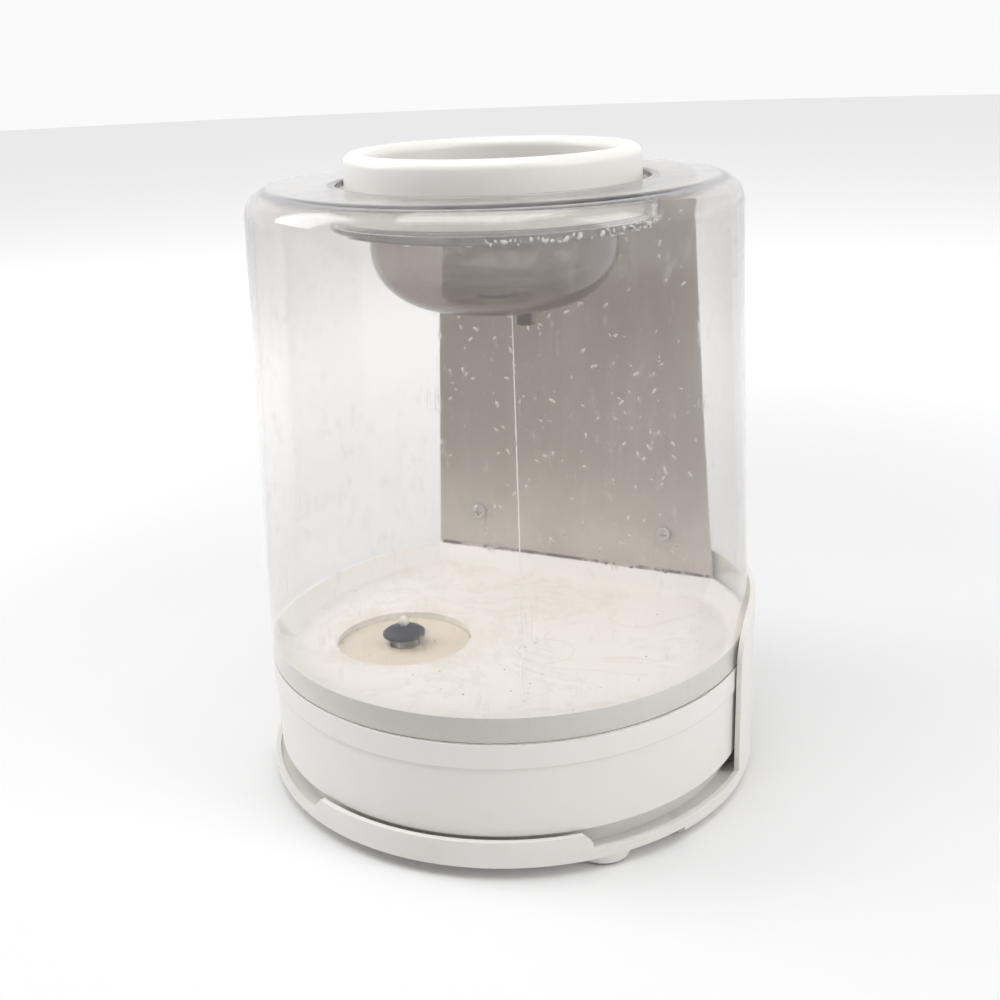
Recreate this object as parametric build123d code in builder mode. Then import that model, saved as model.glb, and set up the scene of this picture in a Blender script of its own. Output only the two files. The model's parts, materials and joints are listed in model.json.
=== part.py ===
from build123d import *
import os
from math import asin, atan2, cos, degrees, hypot, radians, sin, sqrt, tan

# Cool mist humidifier: a smoky clear tank that lifts off a white mist base.
# Millimetres, +Z up. The front faces -Y. The origin is on the floor, under the tank's axis.
# Angles round the axis are counted from the front towards +X.

# ---------------------------------------------------------------- driving sizes
tank_radius = 110.0  # outside of the clear shell at its foot
tank_taper = 6.8  # how much smaller the shell's radius is at its shoulder
shell_height = 205.8  # clear shell, foot to flat top
shell_wall = 3.0
shoulder_radius = 11.0
base_height = 60.7  # from the floor to the shell's foot

well_radius = 65.7  # round recess in the tank's top
well_depth = 15.5
collar_radius = 62.5
collar_height = 25.4
collar_bore = 52.0
collar_shell = 2.5
bowl_radius = 53.0
bowl_wall = 2.5
bowl_depth = 37.3  # below the recess's ledge
bowl_flat_radius = 23.0
bowl_flange = 2.0
nub_place = (11.0, 4.5)  # moulding stub under the bowl
nub_length = 8.9

partition_distance = 76.0  # tank's axis to the front of the partition panel
partition_thickness = 2.0
channel_width = 70.0  # mist channel between the chimney and the recess

curb_height = 10.5  # above the tank's foot
curb_width = 1.2
curb_slope = 38.0  # lean of the pocket's wall, in degrees
curb_fillet = 5.0
tank_floor_level = 62.8
tank_floor_thickness = 4.0
skirt_wall = 2.2
skirt_bottom = 18.6
skirt_step = 11.0  # height of the slightly wider band under the shell

cap_place = (-42.0, -24.2)
cap_opening = 30.5
cap_wall = 3.0
cap_recess = 3.0  # cap's face below the tank floor
valve_lift = 4.0
seat_height = 0.6  # raised valve seat round the cap's port
valve_seal_radius = 9.75
pin_radius = 1.6

tray_underside = 6.0
tray_floor = 2.5
tray_wall = 2.3
rim_height = 18.0
notch_height = 10.5
shroud_height = 84.0
shroud_start = 87.0  # the shroud wraps the right side and the back
shroud_end = 218.0
rear_rim_bottom = 1.4
foot_radius = 12.0
foot_pad_height = 1.5

deck_level = 58.0
deck_wall = 2.0
basin_floor = 26.0
basin_radius = 40.0
panel_inset = 4.0  # flat control panel at the back, in from the deck's round wall
panel_half_width = 45.0

# ---------------------------------------------------------------- clearances
lift_gap = 1.4  # tank skirt to the tray's wall
skirt_gap = 3.1  # tank skirt to the deck
slip_gap = 0.4  # pieces that lift or turn past each other
seat_gap = 0.3  # pieces of different bodies, face to face
running_gap = 0.05  # shaft in its bearing

# ---------------------------------------------------------------- worked out from those
skirt_radius = tank_radius - 0.7
tray_inner = skirt_radius + lift_gap
tray_radius = tray_inner + tray_wall
deck_radius = skirt_radius - skirt_wall - skirt_gap
tank_top = base_height + shell_height
top_radius = tank_radius - tank_taper
shell_inner = tank_radius - shell_wall
inner_top_radius = top_radius - shell_wall
ledge_level = tank_top - well_depth
curb_top = base_height + curb_height
taper_slope = tank_taper / shell_height
curb_outer = shell_inner - taper_slope * curb_height - 0.15
curb_inner = curb_outer - curb_width
partition_back = partition_distance + partition_thickness
tray_top = tray_underside + tray_floor
panel_face = deck_radius - panel_inset
panel_inner = panel_face - deck_wall
mist_y = panel_face - 11.0
mist_width = 18.0
mist_length = 46.0
cap_face = tank_floor_level - cap_recess
floor_underside = tank_floor_level - tank_floor_thickness
seal_level = cap_face + seat_height + valve_lift + 0.1

front_rim = (-24.3, 41.0)  # full-height part of the tray's rim
deep_rim_start = 64.0
rear_rim_width = 7.0
rear_foot_radius = tray_radius - rear_rim_width - foot_radius - 1.5
feet = [(46.0, tray_radius - foot_radius - 1.0), (-70.0, rear_foot_radius),
        (150.0, rear_foot_radius), (-150.0, rear_foot_radius)]

fan_place = (50.0, -4.0)
fan_radius = 32.0
fan_bottom = 35.0
fan_top = 55.0
fan_wall = 1.6
shaft_radius = 1.5
duct_bottom = 37.0
duct_top = 53.0
knob_place = (-32.0, 32.0)  # x and height on the control panel
switch_place = (32.0, 26.0)
lamp_place = (32.0, 46.0)
inlet_place = (0.0, 16.0)


def polar(angle, radius):
    """Place on the floor plan at an angle from the front, towards +X."""
    return (radius * sin(radians(angle)), -radius * cos(radians(angle)))


def band(inner, outer, start, end):
    """Sketch of a curved wall about the axis, between two angles."""
    with BuildSketch(mode=Mode.PRIVATE) as strip:
        with BuildLine():
            far = CenterArc((0, 0), outer, start - 90, end - start)
            near = CenterArc((0, 0), inner, start - 90, end - start)
            Line(far @ 0, near @ 0)
            Line(far @ 1, near @ 1)
        make_face()
    return strip.sketch


def at_back(y, x=0, z=0):
    """Plane at a distance behind the axis, seen from the front: its x is +X, its y is +Z."""
    return Plane(origin=(x, y, z), x_dir=(1, 0, 0), z_dir=(0, -1, 0))


def save(builder, name):
    """Label a finished piece and write it."""
    builder.part.label = name
    export_step(builder.part, f"parts/{name}.step")


os.makedirs("parts", exist_ok=True)

# ================================================================ base
foot_points = [polar(angle, radius) for angle, radius in feet]
deck_screw_points = [(62, 62), (-62, 62), (-55, -78), (56, -56)]
board_size = (38.0, 44.0, 1.6)
board_place = (-63.0, 34.0)
board_level = 14.0
standoffs = [(board_place[0] + sx * 16, board_place[1] + sy * 19) for sx in (-1, 1) for sy in (-1, 1)]
boss_top = tray_top + 3.5

with BuildPart() as base_tray:
    with BuildSketch(Plane.XY.offset(tray_underside)):
        Circle(tray_radius)
    extrude(amount=tray_floor)
    with BuildSketch(Plane.XY.offset(tray_underside)):
        Circle(tray_radius)
        Circle(tray_inner, mode=Mode.SUBTRACT)
    extrude(amount=notch_height - tray_underside)
    # the full-height front rim, with the lowered notches either side of it
    with BuildSketch(Plane.XY.offset(tray_underside)):
        add(band(tray_inner, tray_radius, *front_rim))
    extrude(amount=rim_height - tray_underside)
    rim_ends = base_tray.edges().filter_by(
        lambda e: abs(e.center().Z - rim_height) < 0.01 and e.length < tray_wall * 1.5)
    chamfer(rim_ends, length=(rim_height - notch_height) * 0.55)
    # the shroud that wraps round the back of the tank
    with BuildSketch(Plane.XY.offset(tray_underside)):
        add(band(tray_inner, tray_radius, shroud_start, shroud_end))
    extrude(amount=shroud_height - tray_underside)
    shroud_ends = base_tray.edges().filter_by(
        lambda e: abs(e.center().Z - shroud_height) < 0.01 and e.length < tray_wall * 1.5)
    fillet(shroud_ends, radius=22)
    # deep rim under the back, and the feet
    with BuildSketch(Plane.XY.offset(rear_rim_bottom)):
        add(band(tray_radius - rear_rim_width, tray_radius, deep_rim_start, 360 - deep_rim_start))
    extrude(amount=tray_underside - rear_rim_bottom)
    rim_bottom = base_tray.edges().filter_by(
        lambda e: abs(e.center().Z - rear_rim_bottom) < 0.01 and e.length > 100).sort_by(SortBy.LENGTH)[-1]
    chamfer(rim_bottom, length=3.0)
    with BuildSketch(Plane.XY.offset(foot_pad_height)):
        with Locations(*foot_points):
            Circle(foot_radius)
    extrude(amount=tray_underside - foot_pad_height)
    # window for the control panel
    with BuildSketch(at_back(tray_radius + 1)):
        with Locations((0, (11 + 52) / 2)):
            Rectangle(2 * panel_half_width - 1, 52 - 11)
    extrude(amount=tray_radius - panel_face, mode=Mode.SUBTRACT)
    # bosses for the deck's screws and the standoffs of the circuit board
    with BuildSketch(Plane.XY.offset(tray_top)):
        with Locations(*deck_screw_points):
            Circle(6.5)
    extrude(amount=boss_top - tray_top)
    with BuildSketch(Plane.XY.offset(tray_top)):
        with Locations(*standoffs):
            Circle(3)
    extrude(amount=board_level - tray_top)
    with BuildSketch(Plane.XY.offset(tray_underside)):
        with Locations(*deck_screw_points):
            Circle(4.4)
    extrude(amount=3.5, mode=Mode.SUBTRACT)
    with BuildSketch(Plane.XY.offset(tray_underside)):
        with Locations(*deck_screw_points):
            Circle(2.2)
    extrude(amount=boss_top - tray_underside, mode=Mode.SUBTRACT)
    # air intake: slots under the blower
    with BuildSketch(Plane.XY.offset(tray_underside)):
        with Locations(fan_place):
            with PolarLocations(24, 16):
                SlotOverall(10, 2.6)
    extrude(amount=tray_floor, mode=Mode.SUBTRACT)
    # pedestal of the fan motor
    with BuildSketch(Plane.XY.offset(tray_top)):
        with Locations(fan_place):
            Circle(12)
    extrude(amount=3.5)
save(base_tray, "base_tray")

with BuildPart() as foot_pads:
    with BuildSketch():
        with Locations(*foot_points):
            Circle(foot_radius - 1.5)
    extrude(amount=foot_pad_height)
save(foot_pads, "foot_pads")

with BuildPart() as deck_screws:
    with BuildSketch(Plane.XY.offset(tray_underside + 1.0)):
        with Locations(*deck_screw_points):
            Circle(3.8)
    extrude(amount=2.5)
    with BuildSketch(Plane.XY.offset(tray_underside + 3.5)):
        with Locations(*deck_screw_points):
            Circle(2.0)
    extrude(amount=16)
    with BuildSketch(Plane.XY.offset(tray_underside + 1.0)):
        with Locations(*deck_screw_points):
            Rectangle(4.4, 1)
            Rectangle(1, 4.4)
    extrude(amount=1.2, mode=Mode.SUBTRACT)
save(deck_screws, "deck_screws")

basin_span = hypot(cap_place[0], mist_y - cap_place[1])
basin_angle = degrees(atan2(mist_y - cap_place[1], -cap_place[0]))
basin_middle = (cap_place[0] / 2, (cap_place[1] + mist_y) / 2)
basin_channel = 24.0


def basin_plan(wall):
    """Sketch of the water basin: bowl under the cap, channel, and the mist well at the back."""
    with BuildSketch(mode=Mode.PRIVATE) as plan:
        with Locations(cap_place):
            Circle(basin_radius + wall)
        with Locations(Location(basin_middle, basin_angle)):
            SlotCenterToCenter(basin_span, basin_channel + 2 * wall)
        with Locations((0, mist_y)):
            SlotOverall(mist_length + 2 * wall, mist_width + 2 * wall)
        with Locations((0, panel_face + 50)):
            Rectangle(200, 100, mode=Mode.SUBTRACT)
    return plan.sketch


def deck_plan(inset):
    """Sketch of the deck: a disc with a flat control block at the back."""
    with BuildSketch(mode=Mode.PRIVATE) as plan:
        Circle(deck_radius - inset)
        with Locations((0, panel_face - 15)):
            Rectangle(2 * (panel_half_width - inset), 30)
        with Locations((0, panel_face + 50 - inset)):
            Rectangle(300, 100, mode=Mode.SUBTRACT)
    return plan.sketch


with BuildPart() as base_deck:
    with BuildSketch(Plane.XY.offset(tray_top)):
        add(deck_plan(0))
    extrude(amount=deck_level - tray_top)
    with BuildSketch(Plane.XY.offset(tray_top)):
        add(deck_plan(deck_wall))
    extrude(amount=deck_level - deck_wall - tray_top, mode=Mode.SUBTRACT)
    with BuildSketch(Plane.XY.offset(basin_floor - deck_wall)):
        add(basin_plan(deck_wall))
    extrude(amount=deck_level - basin_floor)
    with BuildSketch(Plane.XY.offset(basin_floor)):
        add(basin_plan(0))
    extrude(amount=deck_level - basin_floor + 1, mode=Mode.SUBTRACT)
    # posts that take the screws from below
    with BuildSketch(Plane.XY.offset(boss_top)):
        with Locations(*deck_screw_points):
            Circle(4.5)
    extrude(amount=deck_level - 1 - boss_top)
    with BuildSketch(Plane.XY.offset(boss_top)):
        with Locations(*deck_screw_points):
            Circle(2.0)
    extrude(amount=tray_underside + 19.5 - boss_top, mode=Mode.SUBTRACT)
    # window of the transducer, and posts for its retainer's screws
    with BuildSketch(Plane.XY.offset(basin_floor - deck_wall)):
        with Locations((0, mist_y)):
            Circle(6.5)
    extrude(amount=deck_wall, mode=Mode.SUBTRACT)
    with BuildSketch(Plane.XY.offset(basin_floor - deck_wall)):
        with Locations((-13.5, mist_y), (13.5, mist_y)):
            Circle(3.4)
    extrude(amount=-3.0)
    with BuildSketch(Plane.XY.offset(basin_floor - deck_wall - 3)):
        with Locations((-13.5, mist_y), (13.5, mist_y)):
            Circle(1.2)
    extrude(amount=4.0, mode=Mode.SUBTRACT)
    # air port from the duct into the mist well
    with BuildSketch(Plane.XY.offset(duct_bottom + 2)):
        with Locations((mist_length / 2, mist_y)):
            Rectangle(14, 9)
    extrude(amount=duct_top - duct_bottom - 4, mode=Mode.SUBTRACT)
    # holes of the control panel
    with BuildSketch(at_back(panel_face + 1)):
        with Locations(knob_place):
            Circle(3.8)
        with Locations(switch_place):
            Rectangle(12, 18)
        with Locations(lamp_place):
            Circle(3.0)
        with Locations(inlet_place):
            Circle(5.0)
    extrude(amount=deck_wall + 1, mode=Mode.SUBTRACT)
save(base_deck, "base_deck")

post_top = cap_face - 18.6

with BuildPart() as valve_post:
    with BuildSketch(Plane.XY.offset(basin_floor)):
        with Locations(cap_place):
            Circle(8)
    extrude(amount=2)
    with BuildSketch(Plane.XY.offset(basin_floor + 2)):
        with Locations(cap_place):
            Circle(2.4)
            with PolarLocations(3.2, 3):
                Rectangle(5, 1.4)
    extrude(amount=post_top - basin_floor - 2)
save(valve_post, "valve_post")

# ---------------------------------------------------------------- mist generator
transducer_radius = 7.6
seal_outer = 8.8
seal_bottom = basin_floor - deck_wall - 3.0
disc_level = seal_bottom + 1.0
disc_thickness = 1.0

with BuildPart() as transducer_seal:
    with BuildSketch(Plane.XY.offset(seal_bottom)):
        with Locations((0, mist_y)):
            Circle(seal_outer)
            Circle(6.2, mode=Mode.SUBTRACT)
    extrude(amount=3.0)
    with BuildSketch(Plane.XY.offset(disc_level)):
        with Locations((0, mist_y)):
            Circle(transducer_radius)
    extrude(amount=disc_thickness, mode=Mode.SUBTRACT)
save(transducer_seal, "transducer_seal")

with BuildPart() as transducer_disc:
    with BuildSketch(Plane.XY.offset(disc_level)):
        with Locations((0, mist_y)):
            Circle(transducer_radius)
    extrude(amount=disc_thickness)
save(transducer_disc, "transducer_disc")

with BuildPart() as transducer_retainer:
    with BuildSketch(Plane.XY.offset(seal_bottom)):
        with Locations((0, mist_y)):
            SlotOverall(36, 17.4)
            Circle(4.8, mode=Mode.SUBTRACT)
        with Locations((-13.5, mist_y), (13.5, mist_y)):
            Circle(1.5, mode=Mode.SUBTRACT)
    extrude(amount=-1.2)
save(transducer_retainer, "transducer_retainer")

with BuildPart() as retainer_screws:
    with BuildSketch(Plane.XY.offset(seal_bottom - 1.2)):
        with Locations((-13.5, mist_y), (13.5, mist_y)):
            Circle(2.5)
    extrude(amount=-1.8)
    with BuildSketch(Plane.XY.offset(seal_bottom - 1.2)):
        with Locations((-13.5, mist_y), (13.5, mist_y)):
            Circle(1.2)
    extrude(amount=5.0)
save(retainer_screws, "retainer_screws")

nozzle_wall = 1.6

with BuildPart() as mist_nozzle:
    with BuildSketch(Plane.XY.offset(basin_floor + 9)):
        with Locations((0, mist_y)):
            SlotOverall(mist_length - 4, mist_width - 4)
    extrude(amount=deck_level + 1.4 - basin_floor - 9)
    with BuildSketch(Plane.XY.offset(deck_level)):
        with Locations((0, mist_y)):
            SlotOverall(mist_length + 3, mist_width + 2)
    extrude(amount=1.4)
    with BuildSketch(Plane.XY.offset(basin_floor + 9)):
        with Locations((0, mist_y)):
            SlotOverall(mist_length - 4 - 2 * nozzle_wall, mist_width - 4 - 2 * nozzle_wall)
    extrude(amount=deck_level + 1.4 - basin_floor - 9, mode=Mode.SUBTRACT)
    with BuildSketch(Plane.XY.offset(duct_bottom + 3)):
        with Locations((mist_length / 2 - 2, mist_y)):
            Rectangle(10, 8)
    extrude(amount=duct_top - duct_bottom - 6, mode=Mode.SUBTRACT)
save(mist_nozzle, "mist_nozzle")

# ---------------------------------------------------------------- blower
fan_x, fan_y = fan_place
outlet_left = fan_x - fan_radius + 5
outlet_right = outlet_left + 16
duct_left = outlet_left + 1.5
duct_right = outlet_right - 1.5
duct_start = fan_y + fan_radius
duct_end = panel_inner - 3.5

with BuildPart() as fan_housing:
    with BuildSketch(Plane.XY.offset(fan_bottom)):
        with Locations(fan_place):
            Circle(fan_radius)
        with Locations(((outlet_left + outlet_right) / 2, fan_y + fan_radius / 2)):
            Rectangle(outlet_right - outlet_left, fan_radius)
    extrude(amount=fan_top - fan_bottom)
    with BuildSketch(Plane.XY.offset(fan_bottom + fan_wall)):
        with Locations(fan_place):
            Circle(fan_radius - fan_wall)
        with Locations(((outlet_left + outlet_right) / 2, fan_y + fan_radius / 2 + 1)):
            Rectangle(outlet_right - outlet_left - 2 * fan_wall, fan_radius + 2)
    extrude(amount=fan_top - fan_bottom - 2 * fan_wall, mode=Mode.SUBTRACT)
    with BuildSketch(Plane.XY.offset(fan_bottom)):
        with Locations(fan_place):
            Circle(4)
            with PolarLocations(22, 8):
                Circle(3.6)
    extrude(amount=fan_wall, mode=Mode.SUBTRACT)
save(fan_housing, "fan_housing")

with BuildPart() as fan_motor:
    with BuildSketch(Plane.XY.offset(boss_top)):
        with Locations(fan_place):
            Circle(16)
    extrude(amount=fan_bottom - boss_top)
    with BuildSketch(Plane.XY.offset(fan_bottom)):
        with Locations(fan_place):
            Circle(3.8)
    extrude(amount=2)
    with BuildSketch(Plane.XY.offset(boss_top + 4)):
        with Locations(fan_place):
            Circle(shaft_radius + running_gap)
    extrude(amount=fan_bottom, mode=Mode.SUBTRACT)
    rims = fan_motor.edges().filter_by(GeomType.CIRCLE).filter_by(lambda e: abs(e.radius - 16) < 0.1)
    fillet(rims, radius=1.5)
save(fan_motor, "fan_motor")

with BuildPart() as fan_shaft:
    with BuildSketch(Plane.XY.offset(boss_top + 4 + seat_gap)):
        with Locations(fan_place):
            Circle(shaft_radius)
    extrude(amount=fan_top - 5 - boss_top - 4)
save(fan_shaft, "fan_shaft")

wheel_radius = fan_radius - 5
wheel_bottom = fan_bottom + 3.5

with BuildPart() as fan_impeller:
    with BuildSketch(Plane.XY.offset(wheel_bottom)):
        with Locations(fan_place):
            Circle(wheel_radius)
    extrude(amount=1.4)
    with BuildSketch(Plane.XY.offset(wheel_bottom)):
        with Locations(fan_place):
            Circle(5)
    extrude(amount=8)
    with BuildSketch(Plane.XY.offset(wheel_bottom)):
        with Locations(fan_place):
            with PolarLocations(wheel_radius - 3, 20):
                Rectangle(5, 1.2, rotation=30)
    extrude(amount=11)
    with BuildSketch(Plane.XY.offset(wheel_bottom + 10)):
        with Locations(fan_place):
            Circle(wheel_radius)
            Circle(wheel_radius - 3, mode=Mode.SUBTRACT)
    extrude(amount=1.5)
    with BuildSketch(Plane.XY.offset(wheel_bottom)):
        with Locations(fan_place):
            Circle(shaft_radius)
    extrude(amount=8, mode=Mode.SUBTRACT)
save(fan_impeller, "fan_impeller")

with BuildPart() as air_filter:
    with BuildSketch(Plane.XY.offset(tray_top)):
        with Locations(fan_place):
            Circle(fan_radius - 1)
            Circle(16.5, mode=Mode.SUBTRACT)
    extrude(amount=4)
save(air_filter, "air_filter")

with BuildPart() as air_duct:
    with BuildSketch(Plane.XY.offset(duct_bottom)):
        with Locations(((duct_left + duct_right) / 2, (duct_start + duct_end) / 2)):
            Rectangle(duct_right - duct_left, duct_end - duct_start)
        with Locations(((mist_length / 2 - 5 + duct_right) / 2, mist_y - 0.5)):
            Rectangle(duct_right - mist_length / 2 + 5, 11)
    extrude(amount=duct_top - duct_bottom)
    with BuildSketch(Plane.XY.offset(duct_bottom + 1.5)):
        with Locations(((duct_left + duct_right) / 2, (duct_start + duct_end) / 2 - 2)):
            Rectangle(duct_right - duct_left - 3, duct_end - duct_start - 1)
        with Locations(((mist_length / 2 - 5 + duct_right) / 2 - 2, mist_y - 0.5)):
            Rectangle(duct_right - mist_length / 2 + 5, 8)
    extrude(amount=duct_top - duct_bottom - 3, mode=Mode.SUBTRACT)
    with BuildSketch(Plane.XY.offset(duct_bottom)):
        add(basin_plan(deck_wall))
    extrude(amount=duct_top - duct_bottom, mode=Mode.SUBTRACT)
save(air_duct, "air_duct")

# ---------------------------------------------------------------- electrics
board_top = board_level + board_size[2]

with BuildPart() as driver_board:
    with BuildSketch(Plane.XY.offset(board_level)):
        with Locations(board_place):
            Rectangle(board_size[0], board_size[1])
        with Locations(*standoffs):
            Circle(1.2, mode=Mode.SUBTRACT)
    extrude(amount=board_size[2])
save(driver_board, "driver_board")

with BuildPart() as heat_sink:
    with BuildSketch(Plane.XY.offset(board_top)):
        with Locations((-74, 42)):
            Rectangle(3, 20)
        with GridLocations(0, 4.4, 1, 5):
            with Locations((-69.5, 42)):
                Rectangle(8, 1.4)
    extrude(amount=20)
save(heat_sink, "heat_sink")

with BuildPart() as power_transistor:
    with BuildSketch(Plane.XY.offset(board_top + 3)):
        with Locations((-77.6, 42)):
            Rectangle(4.2, 10)
    extrude(amount=14)
save(power_transistor, "power_transistor")

with BuildPart() as board_capacitors:
    with BuildSketch(Plane.XY.offset(board_top)):
        with Locations((-50, 24), (-50, 34), (-50, 44)):
            Circle(4)
    extrude(amount=12)
    fillet(board_capacitors.edges().group_by(Axis.Z)[-1], radius=0.8)
save(board_capacitors, "board_capacitors")

with BuildPart() as board_coil:
    with BuildSketch(Plane.XY.offset(board_top)):
        with Locations((-68, 24)):
            Circle(6.5)
            Circle(2.5, mode=Mode.SUBTRACT)
    extrude(amount=8)
save(board_coil, "board_coil")

core_place = (18.0, -66.0)
core_bottom = tray_top
core_height = 35.0

with BuildPart() as transformer_core:
    with BuildSketch(at_back(core_place[1] + 8, core_place[0], core_bottom)):
        with Locations((0, core_height / 2)):
            Rectangle(44, core_height)
        with Locations((-11, core_height / 2), (11, core_height / 2)):
            Rectangle(8, core_height - 14, mode=Mode.SUBTRACT)
    extrude(amount=16)
save(transformer_core, "transformer_core")

with BuildPart() as transformer_winding:
    with BuildSketch(Plane.XY.offset(core_bottom + 7.2)):
        with Locations(core_place):
            Rectangle(29.6, 31)
            Rectangle(14.1, 16.2, mode=Mode.SUBTRACT)
    extrude(amount=core_height - 14.4)
save(transformer_winding, "transformer_winding")

# ---------------------------------------------------------------- control panel
knob_x, knob_z = knob_place
switch_x, switch_z = switch_place
spindle_radius = 3.0

with BuildPart() as mist_control:
    with BuildSketch(at_back(panel_inner, knob_x, knob_z)):
        Circle(6.4)
    extrude(amount=11)
    with BuildSketch(at_back(panel_inner, knob_x, knob_z)):
        Circle(3.8)
    extrude(amount=-6)
    with BuildSketch(at_back(panel_inner + 7, knob_x, knob_z)):
        Circle(spindle_radius + running_gap)
    extrude(amount=15, mode=Mode.SUBTRACT)
save(mist_control, "mist_control")

with BuildPart() as control_nut:
    with BuildSketch(at_back(panel_face, knob_x, knob_z)):
        RegularPolygon(5.6, 6)
        Circle(3.8, mode=Mode.SUBTRACT)
    extrude(amount=-2)
save(control_nut, "control_nut")

knob_back = panel_face + 1.0
knob_front = tray_radius - 1.2
knob_radius = 10.0

with BuildPart() as control_spindle:
    with BuildSketch(at_back(panel_inner - 7.5, knob_x, knob_z)):
        Circle(spindle_radius)
    extrude(amount=-(knob_front - 3 - panel_inner + 7.5))
save(control_spindle, "control_spindle")

with BuildPart() as mist_knob:
    with BuildSketch(at_back(knob_back, knob_x, knob_z)):
        Circle(knob_radius)
    extrude(amount=-(knob_front - knob_back))
    chamfer(mist_knob.edges().group_by(Axis.Y)[-1], length=1.0)
    # grip flutes, pointer groove, and the hollow that clears the nut
    with BuildSketch(at_back(knob_front, knob_x, knob_z)):
        with PolarLocations(knob_radius + 0.5, 16):
            Circle(1.2)
    extrude(amount=knob_front - knob_back - 2, mode=Mode.SUBTRACT)
    with BuildSketch(at_back(knob_front, knob_x, knob_z)):
        with Locations((0, knob_radius / 2 + 1)):
            Rectangle(1.4, knob_radius - 3)
    extrude(amount=0.6, mode=Mode.SUBTRACT)
    with BuildSketch(at_back(knob_back, knob_x, knob_z)):
        Circle(7.4)
    extrude(amount=-3.6, mode=Mode.SUBTRACT)
    with BuildSketch(at_back(knob_back, knob_x, knob_z)):
        Circle(spindle_radius)
    extrude(amount=-(knob_front - 3 - knob_back), mode=Mode.SUBTRACT)
save(mist_knob, "mist_knob")

bezel_front = panel_face + 1.6
rocker_pivot = panel_face + 0.6
rocker_tilt = 9.0

with BuildPart() as power_switch:
    with BuildSketch(at_back(panel_inner, switch_x, switch_z)):
        Rectangle(12, 18)
    extrude(amount=11)
    with BuildSketch(at_back(panel_face, switch_x, switch_z)):
        Rectangle(12, 18)
    extrude(amount=deck_wall)
    with BuildSketch(at_back(panel_face, switch_x, switch_z)):
        Rectangle(15, 21)
    extrude(amount=-(bezel_front - panel_face))
    with BuildSketch(at_back(bezel_front, switch_x, switch_z)):
        Rectangle(10, 16)
    extrude(amount=7, mode=Mode.SUBTRACT)
save(power_switch, "power_switch")

# a shallow vee that rocks about a pin across the bezel, shown with its lower half pressed
with BuildPart() as power_rocker:
    lean = radians(rocker_tilt)
    rocker_plane = Plane(origin=(switch_x - 4.6, rocker_pivot, switch_z), x_dir=(0, cos(lean), -sin(lean)),
                         z_dir=(1, 0, 0))
    with BuildSketch(rocker_plane):
        with BuildLine():
            Polyline((-3, -4), (1.0, -6.8), (3.4, -6.8), (2.3, 0), (3.4, 6.8), (1.0, 6.8), (-3, 4), close=True)
        make_face()
    extrude(amount=9.2)
    with BuildSketch(Plane.YZ.offset(switch_x - 4.9)):
        with Locations((rocker_pivot, switch_z)):
            Circle(1.5)
    extrude(amount=9.8)
save(power_rocker, "power_rocker")

with BuildPart() as lamp_lens:
    with BuildSketch(at_back(panel_inner - 1.5, *lamp_place)):
        Circle(3.0)
    extrude(amount=-(panel_face + 1.5 - panel_inner + 1.5))
    fillet(lamp_lens.edges().group_by(Axis.Y)[-1], radius=1.4)
save(lamp_lens, "lamp_lens")

with BuildPart() as cord_inlet:
    with BuildSketch(at_back(panel_inner, *inlet_place)):
        Circle(5.0)
    extrude(amount=-deck_wall)
    with BuildSketch(at_back(panel_face, *inlet_place)):
        Circle(6.6)
    extrude(amount=-3.0)
    chamfer(cord_inlet.edges().group_by(Axis.Y)[-1], length=1.2)
    with BuildSketch(at_back(panel_face + 4, *inlet_place)):
        Circle(3.4)
    extrude(amount=10, mode=Mode.SUBTRACT)
save(cord_inlet, "cord_inlet")

# ---------------------------------------------------------------- float
float_place = basin_middle
float_level = basin_floor + 5

with BuildPart() as float_guide:
    with BuildSketch(Plane.XY.offset(basin_floor)):
        with Locations(float_place):
            Circle(4)
    extrude(amount=2)
    with BuildSketch(Plane.XY.offset(basin_floor)):
        with Locations(float_place):
            Circle(1.5)
    extrude(amount=26)
    with BuildSketch(Plane.XY.offset(basin_floor + 24)):
        with Locations(float_place):
            Circle(3)
    extrude(amount=1.2)
save(float_guide, "float_guide")

with BuildPart() as float_ring:
    with BuildSketch(Plane.XY.offset(float_level)):
        with Locations(float_place):
            Circle(8.5)
            Circle(1.5 + 2 * running_gap, mode=Mode.SUBTRACT)
    extrude(amount=8)
    fillet(float_ring.edges().filter_by(lambda e: e.length > 40), radius=1.2)
save(float_ring, "float_ring")

# ================================================================ tank
channel_floor = ledge_level

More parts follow.
